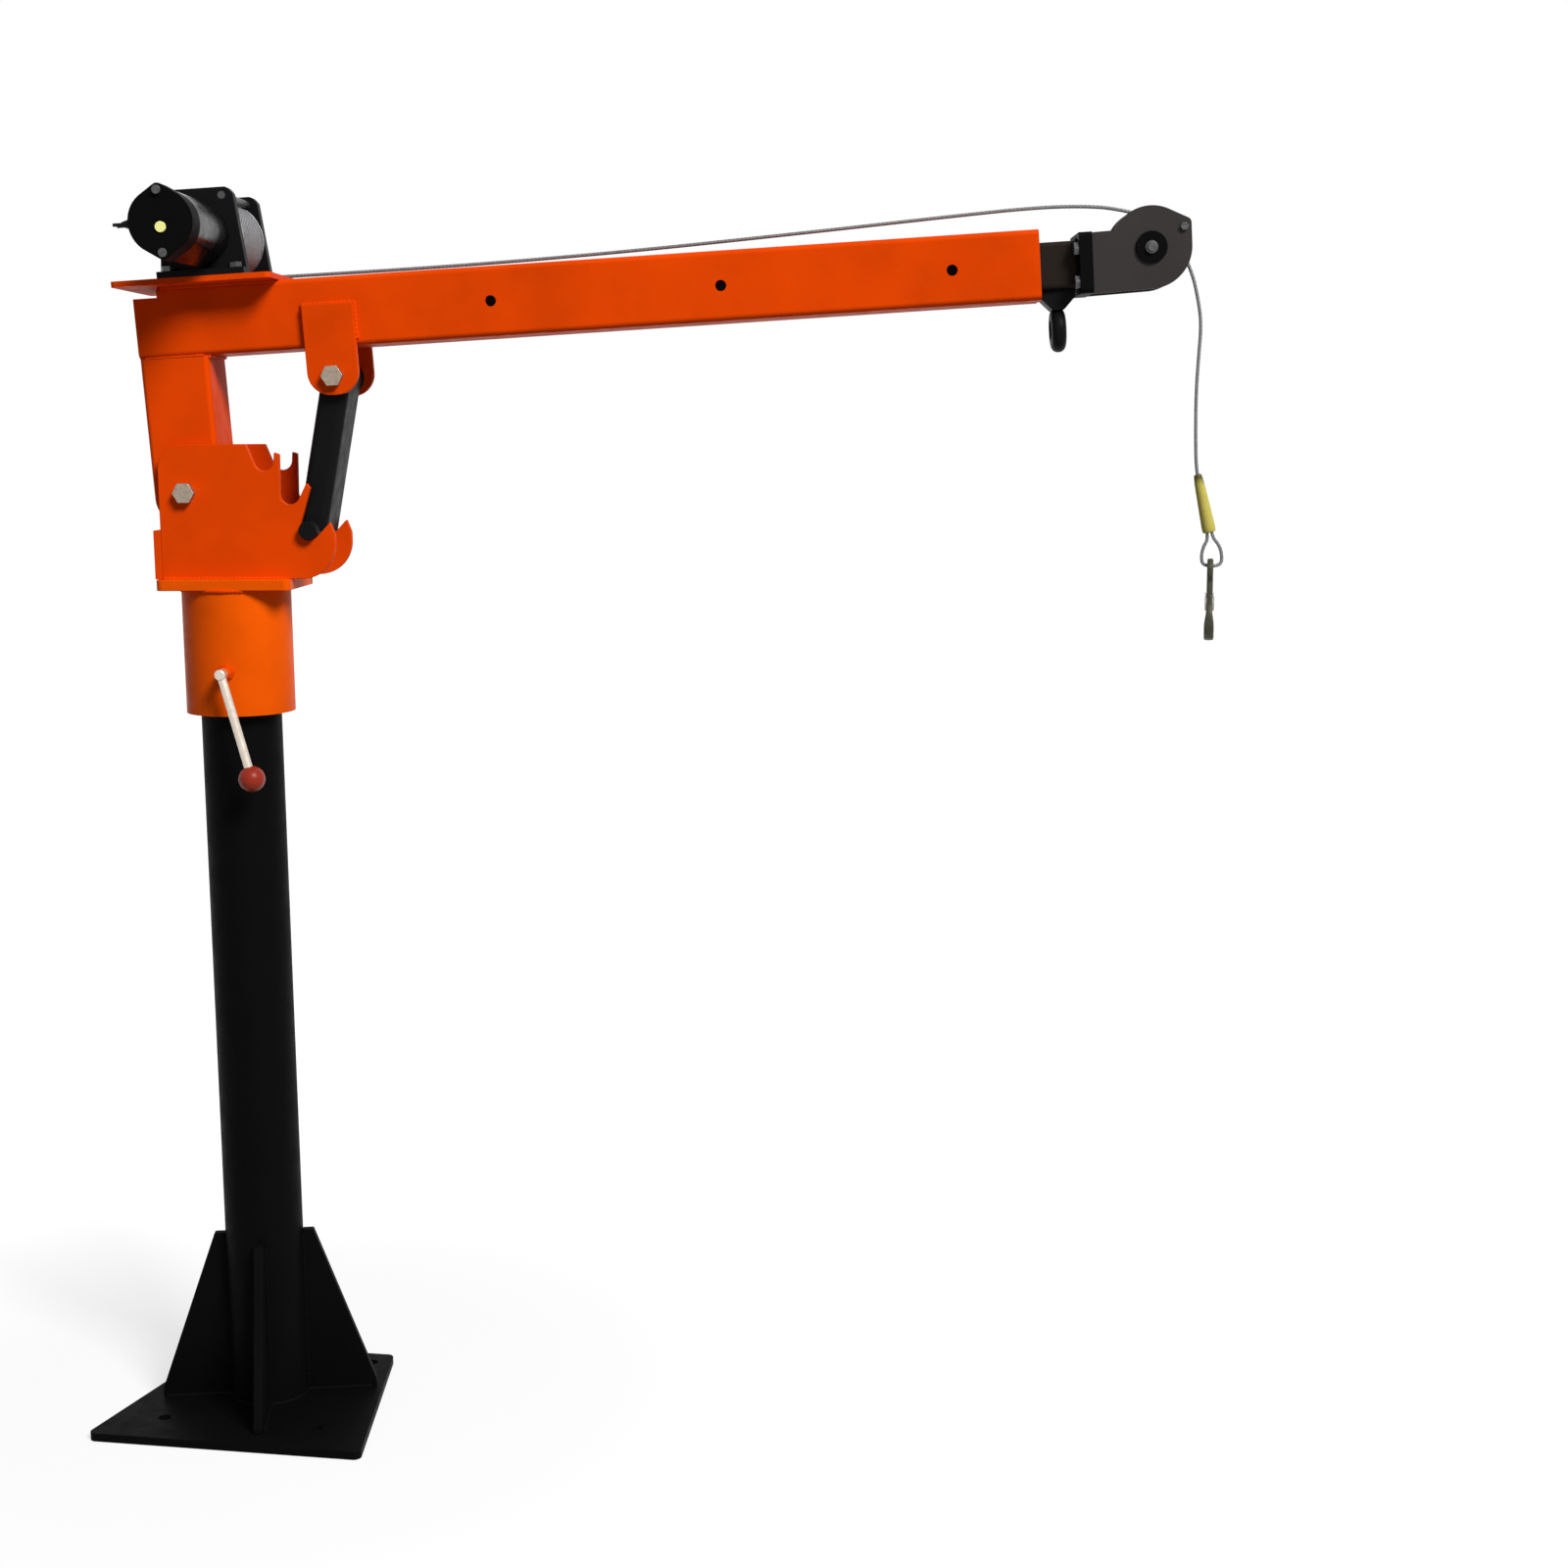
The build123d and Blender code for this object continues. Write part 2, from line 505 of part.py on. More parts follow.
def make_boom():
    """The boom and mast tubes with the pivot's bush, and the lugs with the strut's pin."""
    section = square_tube(TUBE, TUBE_WALL, TUBE_CORNER)
    tube = across(section, -BOOM_BACK, BOOM_REACH)
    tube -= box((-BOOM_BACK, -TUBE, TUBE / 2 - RELIEF_DEPTH), (RELIEF_LENGTH - BOOM_BACK, TUBE, TUBE))
    for place in PIN_HOLES:
        tube -= bar_y(place, 0, -TUBE, TUBE, PIN_HOLE)
    write("boom_tube", BOOM * tube)
    mast_length = PIVOT_DROP
    mast = Pos(MAST_PLACE, 0, -TUBE / 2 - mast_length) * extrude(section, amount=mast_length)
    upper = box((MAST_PLACE - TUBE, -TUBE, -PIVOT_DROP), (MAST_PLACE + TUBE, TUBE, 0))
    mast &= upper + bar_y(MAST_PLACE, -PIVOT_DROP, -TUBE, TUBE, TUBE)
    write("mast_tube", BOOM * (mast - bar_y(MAST_PLACE, -PIVOT_DROP, -TUBE, TUBE, PIVOT_BUSH)))
    bush_half = PLATE_INSIDE - SIDE_PLAY
    bush = bar_y(MAST_PLACE, -PIVOT_DROP, -bush_half, bush_half, PIVOT_BUSH)
    bush -= bar_y(MAST_PLACE, -PIVOT_DROP, -bush_half, bush_half, PIVOT_BOLT + 2 * RUNNING)
    write("pivot_bush", BOOM * bush)

    left = LUG_PLACE - LUG_WIDTH / 2
    right = LUG_PLACE + LUG_WIDTH / 2
    bottom = -LUG_DROP - LUG_BOTTOM
    lug = Polygon((left, LUG_TOP), (left, bottom), (right, bottom), (right, LUG_TOP), align=None)
    lug = fillet(lug.vertices().group_by(Axis.Y)[0], LUG_CORNER)
    lug -= Pos(LUG_PLACE, -LUG_DROP) * Circle(LUG_PIN / 2)
    outside = TUBE / 2 + LUG_THICKNESS
    write("boom_lugs", BOOM * slab(lug, -outside, -TUBE / 2), BOOM * slab(lug, TUBE / 2, outside))
    shank = bar_y(LUG_PLACE, -LUG_DROP, -outside, outside + NUT_HEIGHT + THREAD_STICKOUT, LUG_PIN)
    head = hex_y(LUG_PLACE, -LUG_DROP, -outside - BOLT_HEAD_HEIGHT, -outside, BOLT_HEAD)
    nut = hex_y(LUG_PLACE, -LUG_DROP, outside, outside + NUT_HEIGHT, BOLT_HEAD)
    write("lug_pin", BOOM * (shank + head), BOOM * (nut - shank))


def make_strut():
    """The strut: a flat tube between the bush on the boom's pin and the cross bar in the lowest notch."""
    lean = degrees(atan2(LUG_X - BAR_X, LUG_Z - BAR_Z))
    length = hypot(LUG_X - BAR_X, LUG_Z - BAR_Z)
    hollow = 2 * STRUT_WALL
    section = RectangleRounded(STRUT_WIDTH, STRUT_DEPTH, STRUT_CORNER)
    section -= RectangleRounded(STRUT_WIDTH - hollow, STRUT_DEPTH - hollow, STRUT_CORNER / 2)
    tube = Location((BAR_X, 0, BAR_Z), (0, lean, 0)) * extrude(section, amount=length)
    bush_half = TUBE / 2 - SIDE_PLAY
    bush = bar_y(LUG_X, LUG_Z, -bush_half, bush_half, STRUT_BUSH)
    bar_half = PLATE_OUTSIDE + STRUT_BAR_OVERHANG
    bar = bar_y(BAR_X, BAR_Z, -bar_half, bar_half, STRUT_BAR)
    write("strut_tube", tube - bush - bar)
    write("strut_bush", bush - bar_y(LUG_X, LUG_Z, -TUBE, TUBE, LUG_PIN + 2 * RUNNING))
    write("strut_bar", bar)


def pads(start, inner, outer):
    """Four slide pads round the arm. Inner and outer give the bottom, top and side faces of their gap."""
    end = start + PAD_LENGTH
    half = PAD_WIDTH / 2
    low = -ARM_DROP - half
    high = half - ARM_DROP
    blocks = [box((start, -half, outer[0]), (end, half, inner[0])),
              box((start, -half, inner[1]), (end, half, outer[1])),
              box((start, inner[2], low), (end, outer[2], high)),
              box((start, -outer[2], low), (end, -inner[2], high))]
    return [BOOM * block for block in blocks]


def make_arm():
    """The telescopic arm, the slide pads in the boom's mouth and on the arm's tail, and the two flanges."""
    arm = across(Pos(0, -ARM_DROP) * square_tube(ARM, ARM_WALL, ARM_CORNER), ARM_TAIL, ARM_END)
    for place in ARM_HOLES:
        arm -= bar_y(ARM_TAIL + place, 0, -TUBE, TUBE, PIN_HOLE)
    write("arm_tube", BOOM * arm)
    bore = TUBE / 2 - TUBE_WALL
    arm_loose = (ARM_BOTTOM - SLIDE_PLAY, ARM_TOP + SLIDE_PLAY, ARM / 2 + SLIDE_PLAY)
    boom_loose = (SLIDE_PLAY - bore, bore - SLIDE_PLAY, bore - SLIDE_PLAY)
    write("mouth_pads", *pads(BOOM_REACH - PAD_INSET - PAD_LENGTH, arm_loose, (-bore, bore, bore)))
    write("tail_pads", *pads(ARM_TAIL + PAD_INSET, (ARM_BOTTOM, ARM_TOP, ARM / 2), boom_loose))
    flange = RectangleRounded(HEAD_FLANGE_WIDTH, HEAD_FLANGE_TOP + HEAD_FLANGE_BOTTOM, HEAD_FLANGE_CORNER)
    flange = Pos(0, (HEAD_FLANGE_TOP - HEAD_FLANGE_BOTTOM) / 2) * flange
    for level in HEAD_BOLT_LEVELS:
        for side in (-HEAD_BOLT_SIDE, HEAD_BOLT_SIDE):
            flange -= Pos(side, level) * Circle(HEAD_BOLT / 2)
    joint = ARM_END + HEAD_FLANGE_THICKNESS
    write("arm_flange", BOOM * across(flange, ARM_END, joint))
    write("head_flange", BOOM * across(flange, joint, HEAD_FACE))


def make_eye():
    """The eye under the arm's end. Its lug stops the arm against the boom's mouth."""
    start = BOOM_REACH + SIDE_PLAY
    middle = start + EYE_LUG / 2
    end = start + EYE_LUG
    neck = ARM_BOTTOM - EYE_LUG_DEPTH
    edge = ARM_BOTTOM - EYE_LUG_EDGE
    wedge = Polygon((start, ARM_BOTTOM), (start, edge), (middle - EYE_NECK / 2, neck),
                    (middle + EYE_NECK / 2, neck), (end, edge), (end, ARM_BOTTOM), align=None)
    eye_z = neck - EYE_DIAMETER / 2 + EYE_SINK
    disc = bar_x(middle - EYE_THICKNESS / 2, middle + EYE_THICKNESS / 2, 0, eye_z, EYE_DIAMETER)
    disc = fillet(disc.edges().filter_by(GeomType.CIRCLE), EYE_ROUND)
    eye = slab(wedge, -EYE_LUG_WIDTH / 2, EYE_LUG_WIDTH / 2) + disc
    write("tip_eye", BOOM * (eye - bar_x(start, end, 0, eye_z, EYE_HOLE)))


def make_head():
    """The pulley head: two cheeks, the pulley on its pin, the flange bolts and the rope keeper's bolt."""
    reach = hypot(CHEEK_RADIUS, CHEEK_NOSE_RISE)
    touch = atan2(CHEEK_NOSE_RISE, CHEEK_RADIUS) + acos(CHEEK_RADIUS / reach)
    nose = Polygon((0, 0), (CHEEK_RADIUS, 0), (CHEEK_RADIUS, CHEEK_NOSE_RISE),
                   (CHEEK_RADIUS * cos(touch), CHEEK_RADIUS * sin(touch)), align=None)
    tip = nose.vertices().sort_by_distance(Vector(CHEEK_RADIUS, CHEEK_NOSE_RISE))[0]
    nose = fillet(tip, CHEEK_NOSE)
    rear = Polygon((-PULLEY_AHEAD, -HEAD_FLANGE_BOTTOM - PULLEY_RISE), (0, -CHEEK_RADIUS), (0, 0),
                   *reversed(CHEEK_STEPS), (-PULLEY_AHEAD, HEAD_FLANGE_TOP - PULLEY_RISE), align=None)
    outline = rear + Circle(CHEEK_RADIUS) + nose - Circle(PULLEY_PIN / 2)
    outline -= Pos(KEEPER_AHEAD, KEEPER_RISE) * Circle(KEEPER_BOLT / 2)
    cheek = slab(Pos(PULLEY_X, PULLEY_RISE) * outline, -CHEEK_OUTSIDE, -CHEEK_GAP / 2)
    write("cheek_near", BOOM * cheek)
    write("cheek_far", BOOM * mirror(cheek, about=Plane.XZ))

    end = CHEEK_OUTSIDE + PULLEY_WASHER_THICKNESS
    pin = bar_y(PULLEY_X, PULLEY_RISE, -end, end, PULLEY_PIN)
    washer = bar_y(PULLEY_X, PULLEY_RISE, -end, -CHEEK_OUTSIDE, PULLEY_WASHER) - pin
    pin += bar_y(PULLEY_X, PULLEY_RISE, -end - PIN_END_LENGTH, end + PIN_END_LENGTH, PIN_END)
    write("pulley_pin", BOOM * pin)
    write("pulley_washers", BOOM * washer, BOOM * mirror(washer, about=Plane.XZ))

    groove = ROPE / 2 + GROOVE_GAP
    wheel = bar_y(0, 0, -PULLEY_WIDTH / 2, PULLEY_WIDTH / 2, 2 * (PULLEY_ROPE_RADIUS + PULLEY_RIM))
    wheel += bar_y(0, 0, SIDE_PLAY - CHEEK_GAP / 2, CHEEK_GAP / 2 - SIDE_PLAY, PULLEY_HUB)
    mouth = Polygon((0, -groove), (2 * PULLEY_RIM, -2 * groove),
                    (2 * PULLEY_RIM, 2 * groove), (0, groove), align=None)
    wheel -= revolve(Pos(PULLEY_ROPE_RADIUS, 0) * (Circle(groove) + mouth), Axis.Y)
    wheel -= bar_y(0, 0, -CHEEK_GAP, CHEEK_GAP, PULLEY_PIN + 2 * RUNNING)
    write("pulley", BOOM * Pos(PULLEY_X, 0, PULLEY_RISE) * wheel)

    pieces = []
    start = ARM_END - HEAD_BOLT_HEAD_HEIGHT
    for level in HEAD_BOLT_LEVELS:
        for side in (-HEAD_BOLT_SIDE, HEAD_BOLT_SIDE):
            head = across(Pos(side, level) * hexagon(HEAD_BOLT_HEAD), start, ARM_END)
            pieces.append(head + bar_x(start, HEAD_FACE, side, level, HEAD_BOLT))
    x = PULLEY_X + KEEPER_AHEAD
    z = PULLEY_RISE + KEEPER_RISE
    end = CHEEK_OUTSIDE + KEEPER_HEAD_HEIGHT
    shank = bar_y(x, z, -end, end, KEEPER_BOLT)
    head = hex_y(x, z, -end, -CHEEK_OUTSIDE, KEEPER_HEAD)
    nut = hex_y(x, z, CHEEK_OUTSIDE, end, KEEPER_HEAD)
    pieces += [shank + head, nut - shank]
    write("head_bolts", *[BOOM * piece for piece in pieces])


def bracket(out):
    """One winch bracket with its foot, on the side that out gives as -1 or 1."""
    half = BRACKET_WIDTH / 2
    shoulder_half = BRACKET_SHOULDER_WIDTH / 2
    top_half = BRACKET_TOP_WIDTH / 2
    outline = Polygon((-half, -WINCH_RISE), (half, -WINCH_RISE), (shoulder_half, BRACKET_SHOULDER),
                      (top_half, BRACKET_TOP), (-top_half, BRACKET_TOP),
                      (-shoulder_half, BRACKET_SHOULDER), align=None)
    outline = fillet(outline.vertices().filter_by(lambda v: v.Y > 0), BRACKET_CORNER)
    outline -= Circle(DRUM_JOURNAL / 2 + RUNNING)
    outline -= Pos(-TIE_ROD_SIDE, TIE_ROD_RISE) * Circle(TIE_ROD / 2)
    outline -= Pos(TIE_ROD_SIDE, TIE_ROD_RISE) * Circle(TIE_ROD / 2)
    low, high = sorted((out * DRUM_SPACE / 2, out * BRACKET_OUTSIDE))
    body = slab(Pos(WINCH_PLACE, WINCH_Z) * outline, low, high)
    low, high = sorted((out * DRUM_SPACE / 2, out * (BRACKET_OUTSIDE + FOOT_REACH)))
    body += box((WINCH_PLACE - half, low, WINCH_BASE),
                (WINCH_PLACE + half, high, WINCH_BASE + FOOT_THICKNESS))
    for x, y in WINCH_BOLT_PLACES:
        body -= bar_z(x, y, WINCH_BASE, WINCH_Z, WINCH_BOLT)
    return BOOM * body


def make_winch_frame():
    """The winch's plate, its two brackets, the tie rods and the bolts."""
    plate = RectangleRounded(WINCH_PLATE_BACK + WINCH_PLATE_FRONT, WINCH_PLATE_WIDTH, WINCH_PLATE_CORNER)
    middle = (WINCH_PLATE_FRONT - WINCH_PLATE_BACK) / 2
    plate = Pos(middle, 0, TUBE / 2) * extrude(plate, amount=WINCH_PLATE_THICKNESS)
    foot_top = WINCH_BASE + FOOT_THICKNESS
    bolts = []
    for x, y in WINCH_BOLT_PLACES:
        shank = bar_z(x, y, TUBE / 2, foot_top, WINCH_BOLT)
        plate -= shank
        head = Pos(x, y, foot_top) * extrude(hexagon(WINCH_BOLT_HEAD), amount=WINCH_BOLT_HEAD_HEIGHT)
        bolts.append(BOOM * (shank + head))
    write("winch_plate", BOOM * plate)
    write("winch_bolts", *bolts)
    write("winch_bracket_near", bracket(-1))
    write("winch_bracket_far", bracket(1))
    rods = [bar_y(WINCH_PLACE + side, WINCH_Z + TIE_ROD_RISE, -BRACKET_OUTSIDE, BRACKET_OUTSIDE, TIE_ROD)
            for side in (-TIE_ROD_SIDE, TIE_ROD_SIDE)]
    write("winch_tie_rods", *[BOOM * rod for rod in rods])


def winch_bar(y_low, y_high, diameter):
    """A round bar on the winch's axis."""
    return bar_y(WINCH_PLACE, WINCH_Z, y_low, y_high, diameter)


def eared(diameter, ear, y_low, y_high):
    """A round body on the winch's axis, drawn out above and below to an ear round each cover screw."""
    rounds = [Circle(diameter / 2)]
    rounds += [Pos(0, rise) * Circle(ear / 2) for rise in (-COVER_SCREW_RISE, COVER_SCREW_RISE)]
    outline = make_hull([edge for circle in rounds for edge in circle.edges()])
    return slab(Pos(WINCH_PLACE, WINCH_Z) * outline, y_low, y_high)


def make_motor():
    """The motor's can, the end cover with its screws, the plug and the terminals, and the turning shaft."""
    front = -BRACKET_OUTSIDE
    can = eared(MOTOR_DIAMETER, MOTOR_EAR, MOTOR_END, front)
    can -= winch_bar(MOTOR_END, front - MOTOR_WALL, COVER_CAVITY)
    can -= winch_bar(MOTOR_END + MOTOR_END_RING, front - MOTOR_WALL, MOTOR_DIAMETER - 2 * MOTOR_WALL)
    can -= winch_bar(MOTOR_END, front, SHAFT + 2 * RUNNING)
    cover = eared(COVER_DIAMETER, COVER_EAR, COVER_END, MOTOR_END)
    plug_z = WINCH_Z - PLUG_DROP
    cover -= bar_y(WINCH_PLACE, plug_z, COVER_END, COVER_END + PLUG_DEPTH, PLUG_DIAMETER)
    cover -= winch_bar(COVER_END + PLUG_DEPTH, MOTOR_END, SHAFT + 2 * RUNNING)
    cover -= winch_bar(COVER_END + COVER_WALL, MOTOR_END, COVER_CAVITY)
    screws = []
    head_end = COVER_END - COVER_SCREW_HEAD_HEIGHT
    for rise in (-COVER_SCREW_RISE, COVER_SCREW_RISE):
        shank = bar_y(WINCH_PLACE, WINCH_Z + rise, COVER_END, MOTOR_END + COVER_SCREW_DEPTH, COVER_SCREW)
        head = bar_y(WINCH_PLACE, WINCH_Z + rise, head_end, COVER_END, COVER_SCREW_HEAD)
        cover -= shank
        can -= shank
        screws.append(BOOM * (shank + head))
    write("motor_can", BOOM * can)
    write("motor_cover", BOOM * cover)
    write("motor_screws", *screws)
    plug_end = COVER_END + PLUG_DEPTH - SIDE_PLAY
    write("motor_plug", BOOM * bar_y(WINCH_PLACE, plug_z, COVER_END - PLUG_HEIGHT, plug_end, PLUG_DIAMETER))
    base = Plane.YZ.offset(WINCH_PLACE - COVER_DIAMETER / 2 + TERMINAL_BASE / 2)
    end = Plane.YZ.offset(WINCH_PLACE - TERMINAL_BOOT)
    terminals = []
    for side in (-1, 1):
        y = COVER_END + COVER_LENGTH / 2 + side * TERMINAL_SPACING / 2
        place = Pos(y, WINCH_Z)
        boot = loft([base * place * Circle(TERMINAL_BASE / 2), end * place * Circle(TERMINAL_TIP / 2)])
        boot += bar_x(WINCH_PLACE - TERMINAL_REACH, WINCH_PLACE - TERMINAL_BOOT, y, WINCH_Z, TERMINAL_STUD)
        terminals.append(BOOM * (boot - winch_bar(COVER_END, MOTOR_END, COVER_DIAMETER)))
    write("motor_terminals", *terminals)
    shaft = winch_bar(COVER_END + PLUG_DEPTH + SIDE_PLAY, BRACKET_OUTSIDE + SHAFT_END, SHAFT)
    write("drive_shaft", BOOM * shaft)
    armature_end = front - MOTOR_WALL - ARMATURE_INSET
    armature = winch_bar(armature_end - ARMATURE_LENGTH, armature_end, ARMATURE_DIAMETER)
    write("motor_armature", BOOM * (armature - shaft))


def make_gearbox():
    """The gearbox's housing and the clutch knob on its end."""
    housing = winch_bar(BRACKET_OUTSIDE, GEARBOX_END, GEARBOX_DIAMETER)
    housing = fillet(housing.edges().group_by(Axis.Y)[-1], GEARBOX_ROUND)
    housing -= winch_bar(BRACKET_OUTSIDE, GEARBOX_END - GEARBOX_WALL, GEARBOX_DIAMETER - 2 * GEARBOX_WALL)
    housing -= winch_bar(BRACKET_OUTSIDE, GEARBOX_END, CLUTCH_SPINDLE + 2 * RUNNING)
    write("gearbox", BOOM * housing)
    start = GEARBOX_END + SIDE_PLAY
    end = start + CLUTCH_HUB_LENGTH
    knob = winch_bar(start, end, CLUTCH_HUB)
    knob += winch_bar(GEARBOX_END - GEARBOX_WALL - CLUTCH_SPINDLE_INSIDE, end, CLUTCH_SPINDLE)
    half = CLUTCH_GRIP_LENGTH / 2
    knob += box((WINCH_PLACE - half, end, WINCH_Z - CLUTCH_GRIP_WIDTH / 2),
                (WINCH_PLACE + half, end + CLUTCH_GRIP_HEIGHT, WINCH_Z + CLUTCH_GRIP_WIDTH / 2))
    write("clutch_knob", BOOM * knob)


def biarc(start, start_way, end, end_way):
    """Two arcs that lead smoothly from one point and direction to another."""
    step = end - start
    ways = start_way + end_way
    bend = 2 * (1 - start_way.dot(end_way))
    along = step.dot(ways)
    reach = (sqrt(along ** 2 + bend * step.dot(step)) - along) / bend
    first = start + start_way * reach
    second = end - end_way * reach
    middle = (first + second) * 0.5
    return [TangentArc(start, middle, tangent=start_way), TangentArc(middle, end, tangent=second - first)]


def make_drum():
    """The drum, the inner rope layers as one plain sleeve, and the outer layer, which winds over them."""
    drum = winch_bar(-DRUM_INSIDE, DRUM_INSIDE, DRUM_CORE)
    for low, high in ((-DRUM_FACE, -DRUM_INSIDE), (DRUM_INSIDE, DRUM_FACE)):
        drum += winch_bar(low, high, DRUM_FLANGE)
    journal_end = BRACKET_OUTSIDE - SIDE_PLAY
    drum += winch_bar(-journal_end, journal_end, DRUM_JOURNAL)
    write("winch_drum", BOOM * (drum - winch_bar(-BRACKET_OUTSIDE, BRACKET_OUTSIDE, DRUM_BORE)))
    layers = 2 * (WINDING_RADIUS - ROPE / 2 - LAYER_GAP)
    write("rope_core", BOOM * (winch_bar(-DRUM_INSIDE, DRUM_INSIDE, layers)
                               - winch_bar(-DRUM_INSIDE, DRUM_INSIDE, DRUM_CORE)))
    rise = WINDING_PITCH / (2 * pi)
    knots = []
    for half_turn in range(-2 * WINDING_TURNS, 1):
        turned = pi * half_turn
        angle = turned - pi / 2
        place = Vector(WINCH_PLACE + WINDING_RADIUS * cos(angle), WINDING_END + rise * turned,
                       WINCH_Z + WINDING_RADIUS * sin(angle))
        way = Vector(-WINDING_RADIUS * sin(angle), rise, WINDING_RADIUS * cos(angle)).normalized()
        knots.append((place, way))
    edges = [Line(knots[0][0] - knots[0][1] * ROPE, knots[0][0])]
    for knot, following in zip(knots, knots[1:]):
        edges += biarc(*knot, *following)
    edges.append(Line(knots[-1][0], knots[-1][0] + knots[-1][1] * ROPE))
    path = Wire(edges)
    winding = sweep(Plane(path @ 0, z_dir=path % 0) * Circle(ROPE / 2), path=path)
    write("rope_winding", BOOM * winding)
    share = winding.volume / (pi * ROPE ** 2 / 4 * path.length)
    print(f"rope_winding: length {path.length:.0f}, volume share {share:.4f}, gap {winding_gap(path):.2f}")


def winding_gap(path):
    """The least gap between neighbouring turns, measured on points along the winding."""
    per_turn = 24
    count = WINDING_TURNS * per_turn
    points = [path @ (k / count) for k in range(count + 1)]
    near = [(points[k] - points[j]).length for k in range(count + 1)
            for j in range(k + per_turn - 3, min(k + per_turn + 4, count + 1))]
    return min(near) - ROPE


def rope_tube(name, points):
    """A round tube of the rope's diameter along straight runs that tangent arcs join."""
    radii = []
    for before, corner, after in zip(points, points[1:], points[2:]):
        run_in = Vector(corner) - Vector(before)
        run_out = Vector(after) - Vector(corner)
        half_turn = radians(run_in.get_angle(run_out)) / 2
        radii.append(FILLET_SHARE * min(run_in.length, run_out.length) / tan(half_turn))
    path = FilletPolyline(*points, radius=radii)
    tube = sweep(Plane(path @ 0, z_dir=path % 0) * Circle(ROPE / 2), path=path)
    share = tube.volume / (pi * ROPE ** 2 / 4 * path.length)
    print(f"{name}: length {path.length:.1f}, radii {[round(r) for r in radii]}, volume share {share:.4f}")
    return tube


def make_rope():
    """The rope along the boom, over the pulley, and down to the hook's sleeve."""
    route = [(WINCH_PLACE + x, WINCH_Z + z) for x, z in RUN_AT_DRUM]
    route += [(PULLEY_X + x, PULLEY_RISE + z) for x, z in RUN_AT_PULLEY]
    span = route[-1][0] - route[0][0]
    points = [(x, WINDING_END * (route[-1][0] - x) / span, z) for x, z in route]
    last_x, last_z = RUN_AT_PULLEY[-1]
    on = atan2(last_z, last_x) - acos(PULLEY_ROPE_RADIUS / hypot(last_x, last_z))
    points.append((PULLEY_X + PULLEY_ROPE_RADIUS * cos(on), 0, PULLEY_RISE + PULLEY_ROPE_RADIUS * sin(on)))
    write("rope_run", BOOM * rope_tube("rope_run", points))

    first_x, first_z = DROP_POINTS[0]
    off = atan2(first_z, first_x) + acos(PULLEY_ROPE_RADIUS / hypot(first_x, first_z))
    on += radians(BOOM_TILT)
    rim = [(TIP_X + PULLEY_ROPE_RADIUS * cos(angle), 0, TIP_Z + PULLEY_ROPE_RADIUS * sin(angle))
           for angle in (on, (on + off) / 2, off)]
    arc = ThreePointArc(*rim)
    write("rope_wrap", sweep(Plane(arc @ 0, z_dir=arc % 0) * Circle(ROPE / 2), path=arc))
    print(f"rope_wrap: length {arc.length:.1f}, from {degrees(on):.1f} to {degrees(off):.1f}")

    head = Vector(TIP_X + SLEEVE_HEAD[0], 0, TIP_Z + SLEEVE_HEAD[1])
    foot = Vector(TIP_X + SLEEVE_FOOT[0], 0, TIP_Z + SLEEVE_FOOT[1])
    way = (foot - head).normalized()
    points = [rim[-1]] + [(TIP_X + x, 0, TIP_Z + z) for x, z in DROP_POINTS]
    points += [tuple(head - way * SLEEVE_LEAD), tuple(head)]
    write("rope_drop", rope_tube("rope_drop", points))
    upright = (Align.CENTER, Align.CENTER, Align.MIN)
    sleeve = Cone(ROPE_SLEEVE_HEAD / 2, ROPE_SLEEVE_FOOT / 2, (foot - head).length, align=upright)
    sleeve = Plane(head, z_dir=way) * sleeve
    write("rope_sleeve", fillet(sleeve.edges().filter_by(GeomType.CIRCLE), ROPE_SLEEVE_ROUND))

    side = Vector(-way.Z, 0, way.X) * LOOP_SPREAD
    eye = (TIP_X + HOOK_PLACE[0], TIP_Z + HOOK_PLACE[1])
    points = [foot + side, foot + side + way * SLEEVE_LEAD]
    points += [Vector(eye[0] + x, 0, eye[1] + z) for x, z in LOOP_POINTS]
    points += [foot - side + way * SLEEVE_LEAD, foot - side]
    write("rope_loop", rope_tube("rope_loop", [tuple(point) for point in points]))


